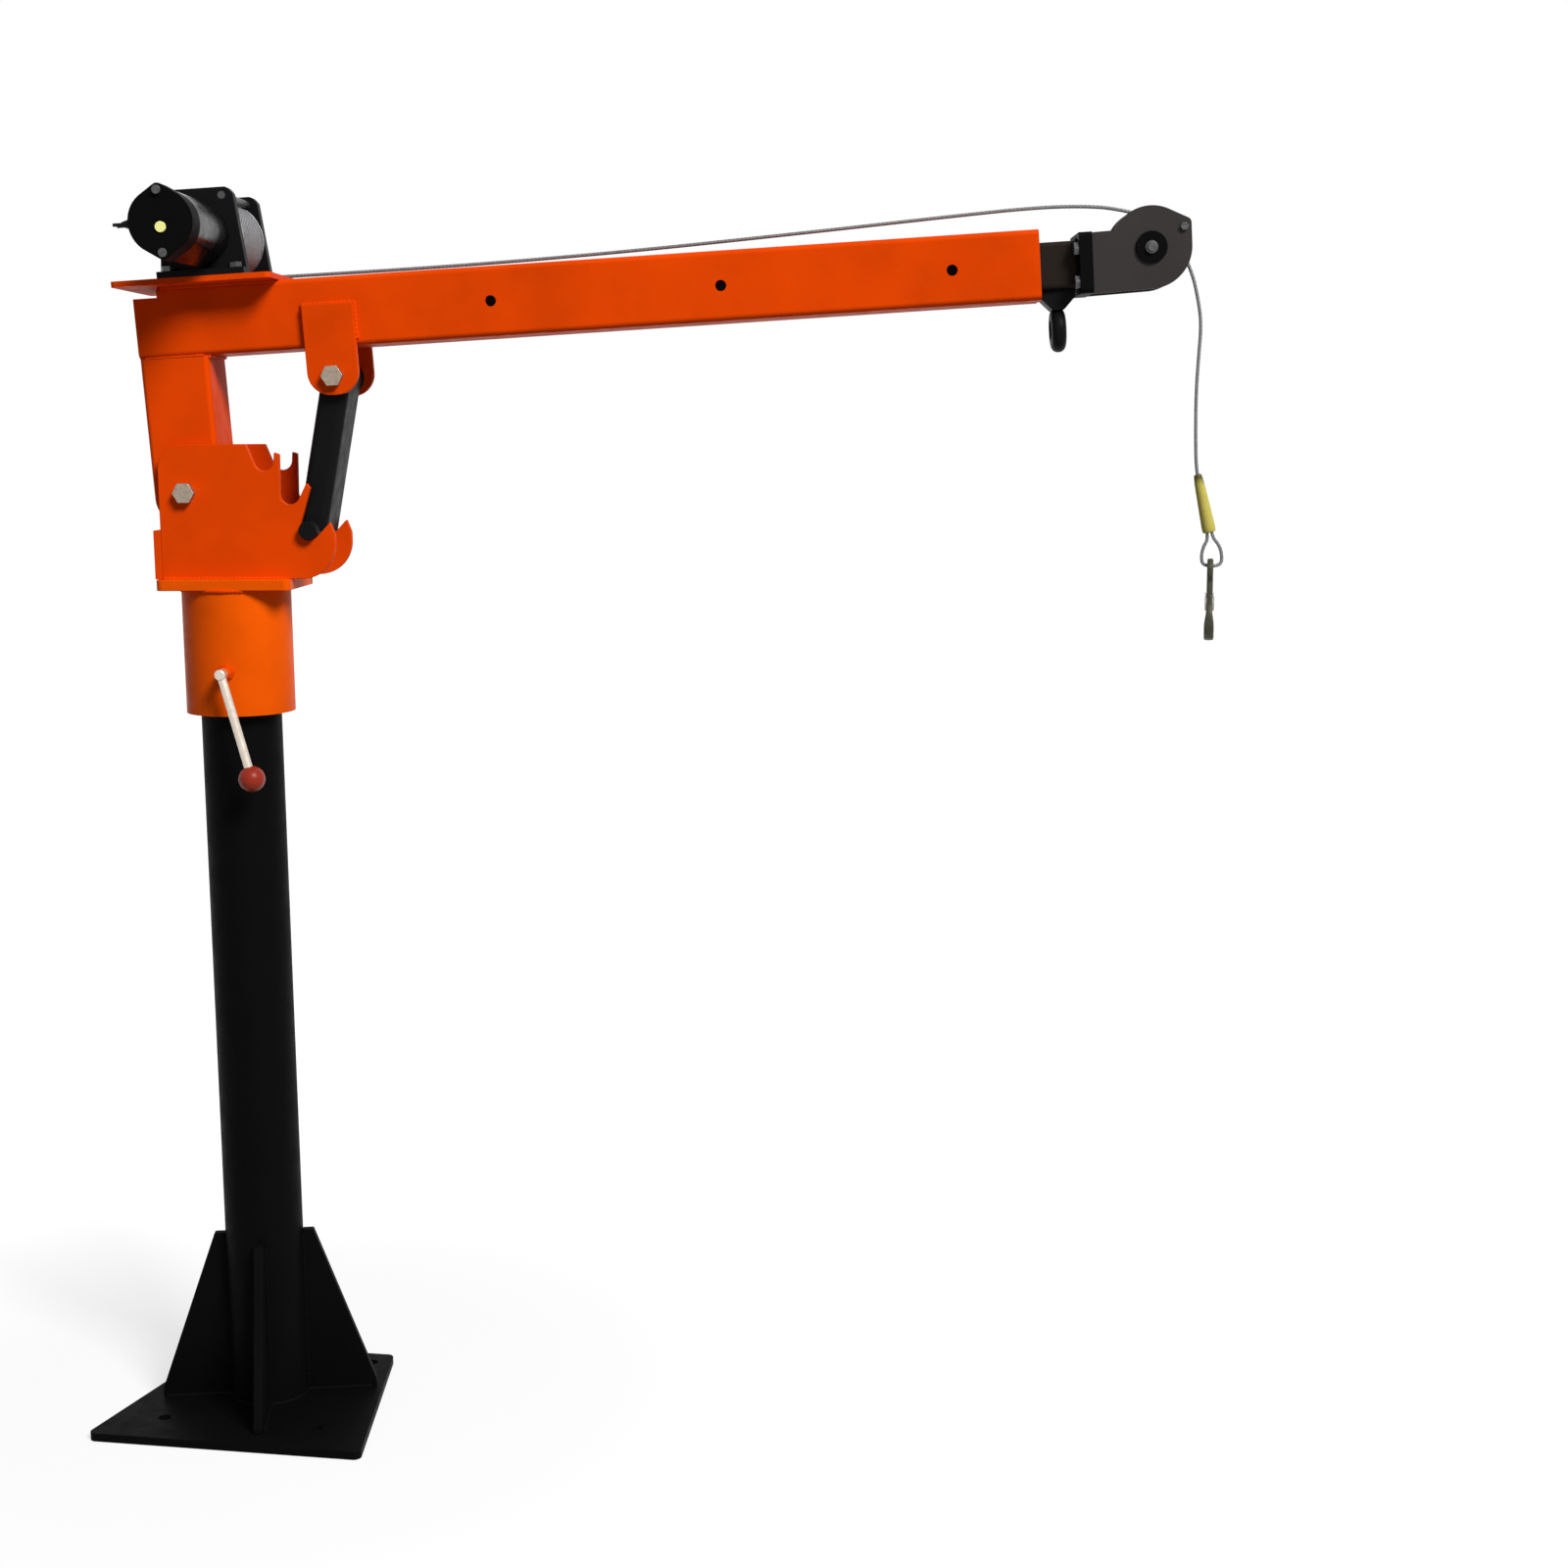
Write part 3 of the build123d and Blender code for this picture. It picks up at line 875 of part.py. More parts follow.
def make_hook():
    """The snap hook, which hangs across the boom, and its sprung latch."""
    x = TIP_X + HOOK_PLACE[0]
    z = TIP_Z + HOOK_PLACE[1]
    inside = HOOK_BOWL_INSIDE / 2
    outside = inside + HOOK_BAR
    middle = inside + HOOK_BAR / 2
    far = 2 * outside
    middle_angle = (HOOK_TIP_ANGLE + HOOK_NECK_ANGLE) / 2
    angles = [radians(angle) for angle in (HOOK_TIP_ANGLE, middle_angle, HOOK_NECK_ANGLE)]
    throat = Polygon((0, 0), *[(far * cos(a), far * sin(a)) for a in angles], align=None)
    bowl = Circle(outside) - Circle(inside) - throat
    bowl += Pos(middle * cos(angles[0]), middle * sin(angles[0])) * Circle(HOOK_BAR / 2)
    outline = Pos(0, -HOOK_BOWL_DROP) * bowl + Circle(HOOK_EYE / 2)
    outline += Pos(0, -HOOK_SHANK_END / 2) * Rectangle(HOOK_SHANK, HOOK_SHANK_END)
    outline -= Circle(HOOK_EYE_HOLE / 2)
    hook = across(Pos(0, z) * outline, x - HOOK_THICKNESS / 2, x + HOOK_THICKNESS / 2)
    pin_z = z - LATCH_DROP
    hook -= bar_x(x - HOOK_THICKNESS, x + HOOK_THICKNESS, 0, pin_z, LATCH_PIN + 2 * RUNNING)
    turned = Pos(x, 0, 0) * Rot(0, 0, HOOK_TURN) * Pos(-x, 0, 0)
    write("hook", turned * hook)
    ear_in = HOOK_THICKNESS / 2 + SIDE_PLAY
    ear_out = ear_in + LATCH_SHEET
    swing = Rot(0, 0, LATCH_ANGLE)
    ear_end = LATCH_START + LATCH_SHEET
    ear = Circle(LATCH_EAR / 2) + Pos(ear_end / 2, 0) * Rectangle(ear_end, LATCH_EAR)
    tongue = Pos((LATCH_START + LATCH_LENGTH) / 2, 0) * Rectangle(LATCH_LENGTH - LATCH_START, LATCH_SHEET)
    place = Pos(0, pin_z) * swing
    latch = across(place * ear, x - ear_out, x - ear_in) + across(place * ear, x + ear_in, x + ear_out)
    latch += across(place * tongue, x - ear_out, x + ear_out)
    latch += bar_x(x - ear_out, x + ear_out, 0, pin_z, LATCH_PIN)
    write("latch", turned * latch)


os.makedirs("parts", exist_ok=True)
make_base()
make_sleeve()
make_lock_lever()
make_notched_plates()
make_boom()
make_strut()
make_arm()
make_eye()
make_head()
make_winch_frame()
make_motor()
make_gearbox()
make_drum()
make_rope()
make_hook()
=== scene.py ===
"""Dresses the packed pillar crane: wire rope, weld beads, forged hook, finishes and a plain studio."""

import json
from math import acos, atan2, cos, hypot, pi, radians, sin, sqrt

import bpy
from bpy.props import FloatProperty, FloatVectorProperty, IntProperty, PointerProperty
from bpy.types import Operator, Panel, PropertyGroup
from mathutils import Matrix, Vector


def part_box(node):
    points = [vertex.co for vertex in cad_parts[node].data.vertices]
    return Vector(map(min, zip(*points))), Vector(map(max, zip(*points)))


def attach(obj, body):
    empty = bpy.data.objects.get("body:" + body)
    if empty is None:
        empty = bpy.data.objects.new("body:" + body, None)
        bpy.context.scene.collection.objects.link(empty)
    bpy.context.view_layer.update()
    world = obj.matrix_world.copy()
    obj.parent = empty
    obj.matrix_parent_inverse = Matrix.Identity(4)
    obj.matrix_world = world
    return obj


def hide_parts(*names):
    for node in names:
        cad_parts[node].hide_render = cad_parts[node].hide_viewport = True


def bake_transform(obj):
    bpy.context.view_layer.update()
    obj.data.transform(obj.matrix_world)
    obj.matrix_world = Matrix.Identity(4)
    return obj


bl_info = {
    "name": "Pillar crane dressing",
    "version": (1, 0, 0),
    "blender": (4, 5, 0),
    "location": "View3D > Sidebar > Crane",
    "description": "Wire rope, weld beads, hook, finishes and studio of a pillar crane",
    "category": "Object",
}

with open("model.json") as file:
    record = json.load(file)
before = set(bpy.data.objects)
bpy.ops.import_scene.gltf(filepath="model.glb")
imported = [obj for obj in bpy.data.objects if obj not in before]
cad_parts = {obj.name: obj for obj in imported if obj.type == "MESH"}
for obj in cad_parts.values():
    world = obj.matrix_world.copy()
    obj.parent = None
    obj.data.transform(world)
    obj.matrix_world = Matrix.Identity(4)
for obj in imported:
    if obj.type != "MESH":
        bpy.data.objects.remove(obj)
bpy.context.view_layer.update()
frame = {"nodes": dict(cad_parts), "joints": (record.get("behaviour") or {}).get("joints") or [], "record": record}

# Places read from the frame
JOINTS = {joint["name"]: joint for joint in frame["joints"]}
SLOT_OF = {piece["node"]: piece["material_slot"] for piece in frame["record"]["subparts"]}
PIVOT = Vector(JOINTS["luff"]["pos_m"])
PULLEY = Vector(JOINTS["pulley_turn"]["pos_m"])
WINCH = Vector(JOINTS["drum_turn"]["pos_m"])
CLAMP = Vector(JOINTS["clamp"]["pos_m"])
HOOK_SIDE = Vector(JOINTS["latch_swing"]["axis"]).normalized()
ALONG = Vector(JOINTS["extend"]["axis"]).normalized()
RISE = Vector((-ALONG.z, 0.0, ALONG.x))
SIDE = Vector((0.0, 1.0, 0.0))
SIDES = (-1, 1)

# Boom, mast, lugs and arm, in metres along the boom, across it and to its side
BOOM_FROM_PIVOT = (0.0505, 0.1845)
BOOM_ORIGIN = PIVOT + BOOM_FROM_PIVOT[0] * ALONG + BOOM_FROM_PIVOT[1] * RISE
TUBE = 0.075
MAST_BACK = -0.088
MAST_FRONT = -0.013
LUG_LEFT = 0.0955
LUG_RIGHT = 0.1515
LUG_TOP = 0.008
WINCH_WELD = (-0.058, 0.068)
BOOM_MOUTH = 0.895
ARM_END = 0.937
ARM_HALF = 0.025
ARM_DROP = 0.001
EYE_LUG_HALF = 0.017
HEAD_FACE = 0.951
HEAD_WELD = (-0.030, 0.026)
CHEEK_OUTSIDE = 0.026

# Base and swivel head
POST_RADIUS = 0.0445
GUSSET_TURNS = (7, 97, 187, 277)
GUSSET_HALF = 0.005
GUSSET_TOE = 0.120
GUSSET_TOP = 0.204
SLEEVE_RADIUS = 0.060
BOSS_RADIUS = 0.0065

# Weld beads: how far they stand off a corner as shares of their radius, then where they end
BEAD_OFF = 0.2
LUG_BEAD_OFF = 0.25
MAST_BEAD_OFF = 0.3
BOSS_BEAD_OFF = 0.1
SMALL_BEAD = 0.8
BEAD_SIDES = 10
WANDER_SCALE = 70.0
WANDER = 0.6
RING_POINTS = 72
BOSS_POINTS = 32
MAST_BEAD_HALF = 0.034
LUG_BEAD_FOOT = 0.007
WINCH_BEAD_DROP = 0.0012
WINCH_BEAD_SIDE = 0.0358
SEAM_BACK = 0.007
SEAM_FRONT = 0.004
SEAM_DEPTH = 0.0006
PLATE_BEAD_BACK = 0.002
PLATE_BEAD_FRONT = 0.003
ARM_BEAD_HALF = 0.021
ARM_BEAD_RISE = (-0.022, 0.020)
EYE_BEAD_BACK = 0.005
EYE_BEAD_FRONT = 0.006

# The rope's route: the drum's winding, the run over the boom, the pulley, the drop and the loop
WINDING_RADIUS = 0.041
WINDING_PITCH = 0.0045
WINDING_TURNS = 18
WINDING_END = 0.0409
WINDING_TAIL = 0.010
POINTS_PER_TURN = 16
RUN_AT_DRUM = ((0.0105, -0.041), (0.202, -0.0436), (0.422, -0.0416))
RUN_AT_PULLEY = ((-0.376, 0.0425), (-0.216, 0.049), (-0.126, 0.0521), (-0.0714, 0.0505), (-0.0284, 0.0447))
PULLEY_ROPE_RADIUS = 0.033
DROP_POINTS = ((0.0479, -0.0222), (0.056, -0.0548), (0.0599, -0.081),
               (0.0576, -0.1179), (0.0558, -0.156), (0.0565, -0.2072))
SLEEVE_HEAD = (0.0595, -0.2438)
SLEEVE_FOOT = (0.074, -0.3074)
SLEEVE_LEAD = 0.007
LOOP_SPREAD = 0.0024
LOOP_POINTS = ((0.008, 0.029), (0.0125, 0.0185), (0.0125, 0.004),
               (-0.0086, 0.004), (-0.0104, 0.015), (-0.008, 0.026))
HOOK_PLACE = (0.076, -0.3488)
NURBS_STEPS = 16
NURBS_ORDER = 3
POINTS_PER_STRAND = 4

# The sleeve's outline as shares of its length and radii, and the darker part at its top
SLEEVE_PROFILE = ((0.0, 0.0034), (0.012, 0.0042), (0.05, 0.0047), (0.16, 0.0055), (0.34, 0.0060),
                  (0.55, 0.0066), (0.75, 0.0072), (0.90, 0.0076), (0.97, 0.0075), (0.99, 0.0071),
                  (1.0, 0.0064))
SLEEVE_SIDES = 40
TOP_DARK_DEPTH = 0.014
TOP_DARK_CLOUDS = 0.25

# Modifiers on the parts
JOIN_DISTANCE = 0.000002
FLAT_ANGLE = radians(0.2)
BEVEL_ANGLE = radians(35)
SMOOTH_FACTOR = 0.5

# Finishes: scale and detail of their noise, places and shares along their ramps, spread of their roughness
PAINT_CLOUDS = (9.0, 3.0)
PAINT_GLOSS = (60.0, 3.0)
PAINT_PEEL = (420.0, 1.5)
PAINT_STOPS = ((0.32, 0.86), (0.52, 1.0), (0.72, 1.08))
PAINT_SPREAD = (-0.06, 0.08)
METAL_STREAKS = (260.0, 3.0)
METAL_GLOSS = (120.0, 3.0)
METAL_STOPS = ((0.3, -1.0), (0.55, 0.0), (0.75, 0.5))
METAL_SPREAD = (-0.08, 0.10)
METAL_SPECULAR = 0.3
METAL_RELIEF = 0.00004
PLASTIC_CLOUDS = (40.0, 2.0)
PLASTIC_GLOSS = (300.0, 2.0)
PLASTIC_GRAIN = (1500.0, 1.0)
PLASTIC_STOPS = ((0.35, 0.90), (0.65, 1.06))
PLASTIC_SPREAD = (-0.05, 0.06)
PLASTIC_RELIEF = 0.00004
SLEEVE_CLOUDS = (160.0, 3.0)
SLEEVE_GRAIN = (500.0, 2.0)
SLEEVE_STOPS = ((0.08, 1.0), (0.30, 0.80), (1.0, 0.16))
SLEEVE_ROUGHNESS = 0.43
SLEEVE_SPREAD = (-0.07, 0.07)
SLEEVE_SPECULAR = 0.16
SLEEVE_RELIEF = 0.00003
NOISE_RANGE = (0.3, 0.7)
WARM = (1.0, 0.40, 0.06)
GLOSS_SHARE = 2.2

# Camera that fits the photograph, for an image of 1600 by 1600
IMAGE_SIDE = 1600
FOCAL_PIXELS = 2260.2
SENSOR_MM = 36.0
CAMERA_PLACE = Vector((0.6556, -2.4819, 1.1258))
CAMERA_YAW = -0.0168
CAMERA_PITCH = 0.1555
CAMERA_ROLL = -0.0055

# Lamps and floor
KEY_SIZE = 4.4
KEY_PLACE = (7.20, -8.22, 10.0)
KEY_TARGET = (0.3, 0.0, 1.0)
FILL_SIZE = 2.0
FILL_PLACE = (-2.4, -3.0, 1.6)
FILL_TARGET = (0.2, 0.0, 0.9)
WHITE = (1.0, 1.0, 1.0, 1.0)
FLOOR_COLOUR = (0.25, 0.25, 0.25, 1.0)
FLOOR_ROUGHNESS = 0.9
FLOOR_FADE = (0.3, 1.3)
FLOOR_GLOW = (0.73, 1.0)


class CraneRopeSettings(PropertyGroup):
    """Sizes of the wire rope."""
    diameter: FloatProperty(name="Rope diameter", description="Diameter over the strands",
                            default=0.004, min=0.001, unit="LENGTH")
    lay: FloatProperty(name="Lay length", description="Length of one full turn of a strand",
                       default=0.026, min=0.005, unit="LENGTH")
    strands: IntProperty(name="Strands", description="Number of outer strands", default=6, min=3)
    valley: FloatProperty(name="Valley depth", description="Depth between strands, as a share of the radius",
                          default=0.16, min=0.0, max=0.5, subtype="FACTOR")
    ring_step: FloatProperty(name="Ring step", description="Distance between two rings of the rope's mesh",
                             default=0.0019, min=0.0005, unit="LENGTH")


class CraneWeldSettings(PropertyGroup):
    """Sizes of the weld beads."""
    bead: FloatProperty(name="Bead radius", description="Radius of a fillet weld's bead",
                        default=0.0023, min=0.0005, unit="LENGTH")
    seam: FloatProperty(name="Seam radius", description="Radius of the flat bead in a butt seam",
                        default=0.0014, min=0.0003, unit="LENGTH")
    pitch: FloatProperty(name="Ripple pitch", description="Distance between two ripples of a bead",
                         default=0.0046, min=0.001, unit="LENGTH")
    ripple: FloatProperty(name="Ripple height", description="Height of a ripple, as a share of the radius",
                          default=0.10, min=0.0, max=0.5, subtype="FACTOR")
    ring_step: FloatProperty(name="Ring step", description="Distance between two rings of a bead's mesh",
                             default=0.00115, min=0.0003, unit="LENGTH")


class CraneEdgeSettings(PropertyGroup):
    """Rounding of the parts' edges."""
    cut: FloatProperty(name="Cut edges", description="Rounding of plates that were cut and painted",
                       default=0.0009, min=0.0001, unit="LENGTH")
    fine: FloatProperty(name="Fine edges", description="Rounding of bolts and turned pieces",
                        default=0.0005, min=0.0001, unit="LENGTH")
    soft: FloatProperty(name="Soft edges", description="Rounding of the pulley head's pressed cheeks",
                        default=0.0029, min=0.0001, unit="LENGTH")
    segments: IntProperty(name="Segments", description="Faces across a rounded edge", default=2, min=1)


class CraneHookSettings(PropertyGroup):
    """Forging of the hook."""
    voxel: FloatProperty(name="Skin voxel", description="Grain of the skin that the forging gets",
                         default=0.0006, min=0.0003, unit="LENGTH")
    rounds: IntProperty(name="Smoothing", description="Rounds of smoothing of that skin", default=56, min=0)
    swell: FloatProperty(name="Swell", description="How much thicker the bowl is than the shank, as a share",
                         default=0.58, min=0.0)
    start: FloatProperty(name="Swell start", description="From the eye's centre to where the bar thickens",
                         default=0.046, unit="LENGTH")
    full: FloatProperty(name="Swell end", description="From the eye's centre to where it is thickest",
                        default=0.064, unit="LENGTH")


class CraneFinishSettings(PropertyGroup):
    """Colours of the finishes."""
    orange: FloatVectorProperty(name="Orange paint", description="Paint of the boom and the swivel head",
                                default=(0.69, 0.053, 0.0010), size=3, subtype="COLOR")
    # Lighter and yellower than the orange paint: partly the sleeve's own tone, partly painted highlight for the
    # light that the sleeve, the flange's edge and the clamp's boss catch.
    head: FloatVectorProperty(name="Sleeve paint", description="Paint of the swivel head's sleeve and flange",
                              default=(0.74, 0.086, 0.0012), size=3, subtype="COLOR")
    black: FloatVectorProperty(name="Black paint", description="Paint of the post, strut and winch",
                               default=(0.0026, 0.0026, 0.0029), size=3, subtype="COLOR")
    arm: FloatVectorProperty(name="Arm paint", description="Dark paint of the sliding arm",
                             default=(0.016, 0.012, 0.010), size=3, subtype="COLOR")
    grey: FloatVectorProperty(name="Dark grey", description="Cheeks of the pulley head",
                              default=(0.030, 0.025, 0.025), size=3, subtype="COLOR")
    ball: FloatVectorProperty(name="Lever ball", description="Ball on the clamp lever",
                              default=(0.265, 0.021, 0.0085), size=3, subtype="COLOR")
    sleeve: FloatVectorProperty(name="Rope sleeve", description="Sleeve over the rope's end",
                                default=(0.47, 0.405, 0.082), size=3, subtype="COLOR")
    plug: FloatVectorProperty(name="Motor plug", description="Plug in the motor's cover",
                              default=(0.80, 0.78, 0.28), size=3, subtype="COLOR")


class CraneStageSettings(PropertyGroup):
    """Light and floor."""
    sky: FloatProperty(name="Sky", description="Strength of the light from all round", default=0.17, min=0.0)
    key: FloatProperty(name="Key lamp", description="Power of the main lamp", default=2620.0, min=0.0,
                       unit="POWER")
    fill: FloatProperty(name="Fill lamp", description="Power of the second lamp", default=0.8, min=0.0,
                        unit="POWER")
    floor: FloatProperty(name="Floor size", description="Side of the square floor", default=60.0,
                         unit="LENGTH")


def on_boom(along, rise, side=0.0):
    """A point of the boom's own frame, in the shared frame."""
    return BOOM_ORIGIN + along * ALONG + rise * RISE + side * SIDE


def beside(origin, x, z):
    """A point given by X and Z from another point."""
    return origin + Vector((x, 0.0, z))


def link(name, data):
    """A new object in the scene."""
    made = bpy.data.objects.new(name, data)
    bpy.context.scene.collection.objects.link(made)
    return made


def drop_object(thing):
    """Remove an object that only helped to make another."""
    bpy.data.objects.remove(thing, do_unlink=True)


def nurbs_points(points):
    """The points of the smooth line that a route's control points give."""
    data = bpy.data.curves.new("route", "CURVE")
    data.dimensions = "3D"
    data.resolution_u = NURBS_STEPS
    spline = data.splines.new("NURBS")
    spline.points.add(len(points) - 1)
    for slot, point in zip(spline.points, points):
        slot.co = (*point, 1.0)
    spline.order_u = NURBS_ORDER
    spline.use_endpoint_u = True
    route = link("route", data)
    bpy.context.view_layer.update()
    mesh = bpy.data.meshes.new_from_object(route)
    line = [vertex.co.copy() for vertex in mesh.vertices]
    bpy.data.meshes.remove(mesh)
    drop_object(route)
    return line


def chain_mesh(chains):
    """A mesh of edges only, one chain of edges for each list of points."""
    points = [point for chain in chains for point in chain]
    edges = []
    start = 0
    for chain in chains:
        edges += [(start + k, start + k + 1) for k in range(len(chain) - 1)]
        start += len(chain)
    mesh = bpy.data.meshes.new("chains")
    mesh.from_pydata(points, edges, [])
    return mesh


def plain_piece(name, host):
    """The host object's evaluated shape as a plain mesh in a new object. The host is removed."""
    graph = bpy.context.evaluated_depsgraph_get()
    mesh = bpy.data.meshes.new_from_object(host.evaluated_get(graph), preserve_all_data_layers=True,
                                           depsgraph=graph)
    drop_object(host)
    mesh.name = name
    return link(name, mesh)


def run_tree(host, tree, sizes):
    """Put a node tree on an object, with the sizes by their names."""
    modifier = host.modifiers.new(tree.name, "NODES")
    modifier.node_group = tree
    for item in tree.interface.items_tree:
        if item.in_out == "INPUT" and item.name in sizes:
            modifier[item.identifier] = sizes[item.name]


def grow(name, tree, chains, sizes):
    """Run a node tree on chains of edges and keep the result as a plain mesh."""
    host = link("host", chain_mesh(chains))
    run_tree(host, tree, sizes)
    return plain_piece(name, host)


class TreeMaker:
    """Adds nodes to a geometry tree and links them."""

    def __init__(self, name, inputs):
        self.tree = bpy.data.node_groups.new(name, "GeometryNodeTree")
        face = self.tree.interface
        face.new_socket(name="Geometry", in_out="INPUT", socket_type="NodeSocketGeometry")
        for label, kind in inputs:
            face.new_socket(name=label, in_out="INPUT", socket_type=kind)
        face.new_socket(name="Geometry", in_out="OUTPUT", socket_type="NodeSocketGeometry")
        self.start = self.tree.nodes.new("NodeGroupInput").outputs

    def add(self, kind, settings=None, **sockets):
        """A node with its settings, and values or links on its sockets by name."""
        node = self.tree.nodes.new(kind)
        for label, value in (settings or {}).items():
            setattr(node, label, value)
        for label, value in sockets.items():
            self.feed(node.inputs[label.replace("_", " ")], value)
        return node

    def feed(self, socket, value):
        """Link an output to a socket, or set its value."""
        if isinstance(value, bpy.types.NodeSocket):
            self.tree.links.new(value, socket)
        else:
            socket.default_value = value

    def math(self, operation, first, second=0.0):
        """The result of one sum on two numbers."""
        node = self.add("ShaderNodeMath", {"operation": operation})
        self.feed(node.inputs[0], first)
        self.feed(node.inputs[1], second)
        return node.outputs[0]

    def vector(self, operation, first, second):
        """The result of one sum on two vectors."""
        node = self.add("ShaderNodeVectorMath", {"operation": operation})
        self.feed(node.inputs[0], first)
        self.feed(node.inputs[1], second)
        return node.outputs["Value" if operation == "DOT_PRODUCT" else "Vector"]

    def finish(self, mesh, smooth=True):
        """Close the tree: real geometry with a material on it."""
        shaded = self.add("GeometryNodeSetShadeSmooth", Geometry=mesh, Shade_Smooth=smooth)
        real = self.add("GeometryNodeRealizeInstances", Geometry=shaded.outputs[0])
        coated = self.add("GeometryNodeSetMaterial", Geometry=real.outputs[0],
                          Material=self.start["Material"])
        end = self.tree.nodes.new("NodeGroupOutput")
        self.tree.links.new(coated.outputs[0], end.inputs["Geometry"])
        return self.tree


def rope_tree():
    """Wire rope along a chain of edges: a ring of strands that twists with its length."""
    make = TreeMaker("wire rope", (("Diameter", "NodeSocketFloat"), ("Lay", "NodeSocketFloat"),
                                   ("Strands", "NodeSocketInt"), ("Valley", "NodeSocketFloat"),
                                   ("Ring step", "NodeSocketFloat"), ("Material", "NodeSocketMaterial")))
    line = make.add("GeometryNodeMeshToCurve", Mesh=make.start["Geometry"])
    even = make.add("GeometryNodeResampleCurve", {"mode": "LENGTH"}, Curve=line.outputs[0],
                    Length=make.start["Ring step"])
    travelled = make.add("GeometryNodeSplineParameter").outputs["Length"]
    turns = make.math("DIVIDE", travelled, make.start["Lay"])
    twisted = make.add("GeometryNodeSetCurveTilt", Curve=even.outputs[0],
                       Tilt=make.math("MULTIPLY", turns, 2 * pi))
    corners = make.math("MULTIPLY", make.start["Strands"], POINTS_PER_STRAND)
    circle = make.add("GeometryNodeCurvePrimitiveCircle", Resolution=corners,
                      Radius=make.math("DIVIDE", make.start["Diameter"], 2))
    place = make.add("GeometryNodeInputPosition").outputs[0]
    parts = make.add("ShaderNodeSeparateXYZ", Vector=place)
    angle = make.math("ARCTAN2", parts.outputs["Y"], parts.outputs["X"])
    wave = make.math("COSINE", make.math("MULTIPLY", angle, make.math("DIVIDE", make.start["Strands"], 2)))
    low = make.math("SUBTRACT", 1, make.math("ABSOLUTE", wave))
    share = make.math("SUBTRACT", 1, make.math("MULTIPLY", low, make.start["Valley"]))
    drawn = make.add("ShaderNodeVectorMath", {"operation": "SCALE"}, Vector=place, Scale=share)
    strands = make.add("GeometryNodeSetPosition", Geometry=circle.outputs[0], Position=drawn.outputs[0])
    tube = make.add("GeometryNodeCurveToMesh", Curve=twisted.outputs[0], Profile_Curve=strands.outputs[0],
                    Fill_Caps=True)
    return make.finish(tube.outputs[0])


def weld_tree():
    """Weld beads along chains of edges: a tube whose girth ripples and wanders."""
    make = TreeMaker("weld bead", (("Radius", "NodeSocketFloat"), ("Pitch", "NodeSocketFloat"),
                                   ("Ripple", "NodeSocketFloat"), ("Ring step", "NodeSocketFloat"),
                                   ("Material", "NodeSocketMaterial")))
    line = make.add("GeometryNodeMeshToCurve", Mesh=make.start["Geometry"])
    even = make.add("GeometryNodeResampleCurve", {"mode": "LENGTH"}, Curve=line.outputs[0],
                    Length=make.start["Ring step"])
    travelled = make.add("GeometryNodeSplineParameter").outputs["Length"]
    phase = make.math("MULTIPLY", make.math("DIVIDE", travelled, make.start["Pitch"]), 2 * pi)
    ripple = make.math("MULTIPLY", make.math("SINE", phase), make.start["Ripple"])
    wander = make.add("ShaderNodeTexNoise", Scale=WANDER_SCALE, Detail=2.0).outputs[0]
    drift = make.math("MULTIPLY", make.math("SUBTRACT", wander, 0.5), WANDER)
    girth = make.math("ADD", 1, make.math("ADD", ripple, drift))
    circle = make.add("GeometryNodeCurvePrimitiveCircle", Resolution=BEAD_SIDES, Radius=make.start["Radius"])
    tube = make.add("GeometryNodeCurveToMesh", Curve=even.outputs[0], Profile_Curve=circle.outputs[0],
                    Scale=girth, Fill_Caps=True)
    return make.finish(tube.outputs[0])


def forging_tree():
    """A flat hook swells to both sides, more and more towards the bottom of its bowl."""
    make = TreeMaker("forging", (("Eye", "NodeSocketVector"), ("Side", "NodeSocketVector"),
                                 ("Down", "NodeSocketVector"), ("Start", "NodeSocketFloat"),
                                 ("Full", "NodeSocketFloat"), ("Swell", "NodeSocketFloat"),
                                 ("Material", "NodeSocketMaterial")))
    place = make.add("GeometryNodeInputPosition").outputs[0]
    away = make.vector("SUBTRACT", place, make.start["Eye"])
    off = make.vector("DOT_PRODUCT", away, make.start["Side"])
    drop = make.vector("DOT_PRODUCT", away, make.start["Down"])
    share = make.add("ShaderNodeMapRange", {"interpolation_type": "SMOOTHSTEP"}, Value=drop,
                     From_Min=make.start["Start"], From_Max=make.start["Full"], To_Min=0.0,
                     To_Max=make.start["Swell"])
    move = make.add("ShaderNodeVectorMath", {"operation": "SCALE"}, Vector=make.start["Side"],
                    Scale=make.math("MULTIPLY", off, share.outputs["Result"]))
    swollen = make.add("GeometryNodeSetPosition", Geometry=make.start["Geometry"], Offset=move.outputs[0])
    return make.finish(swollen.outputs[0])


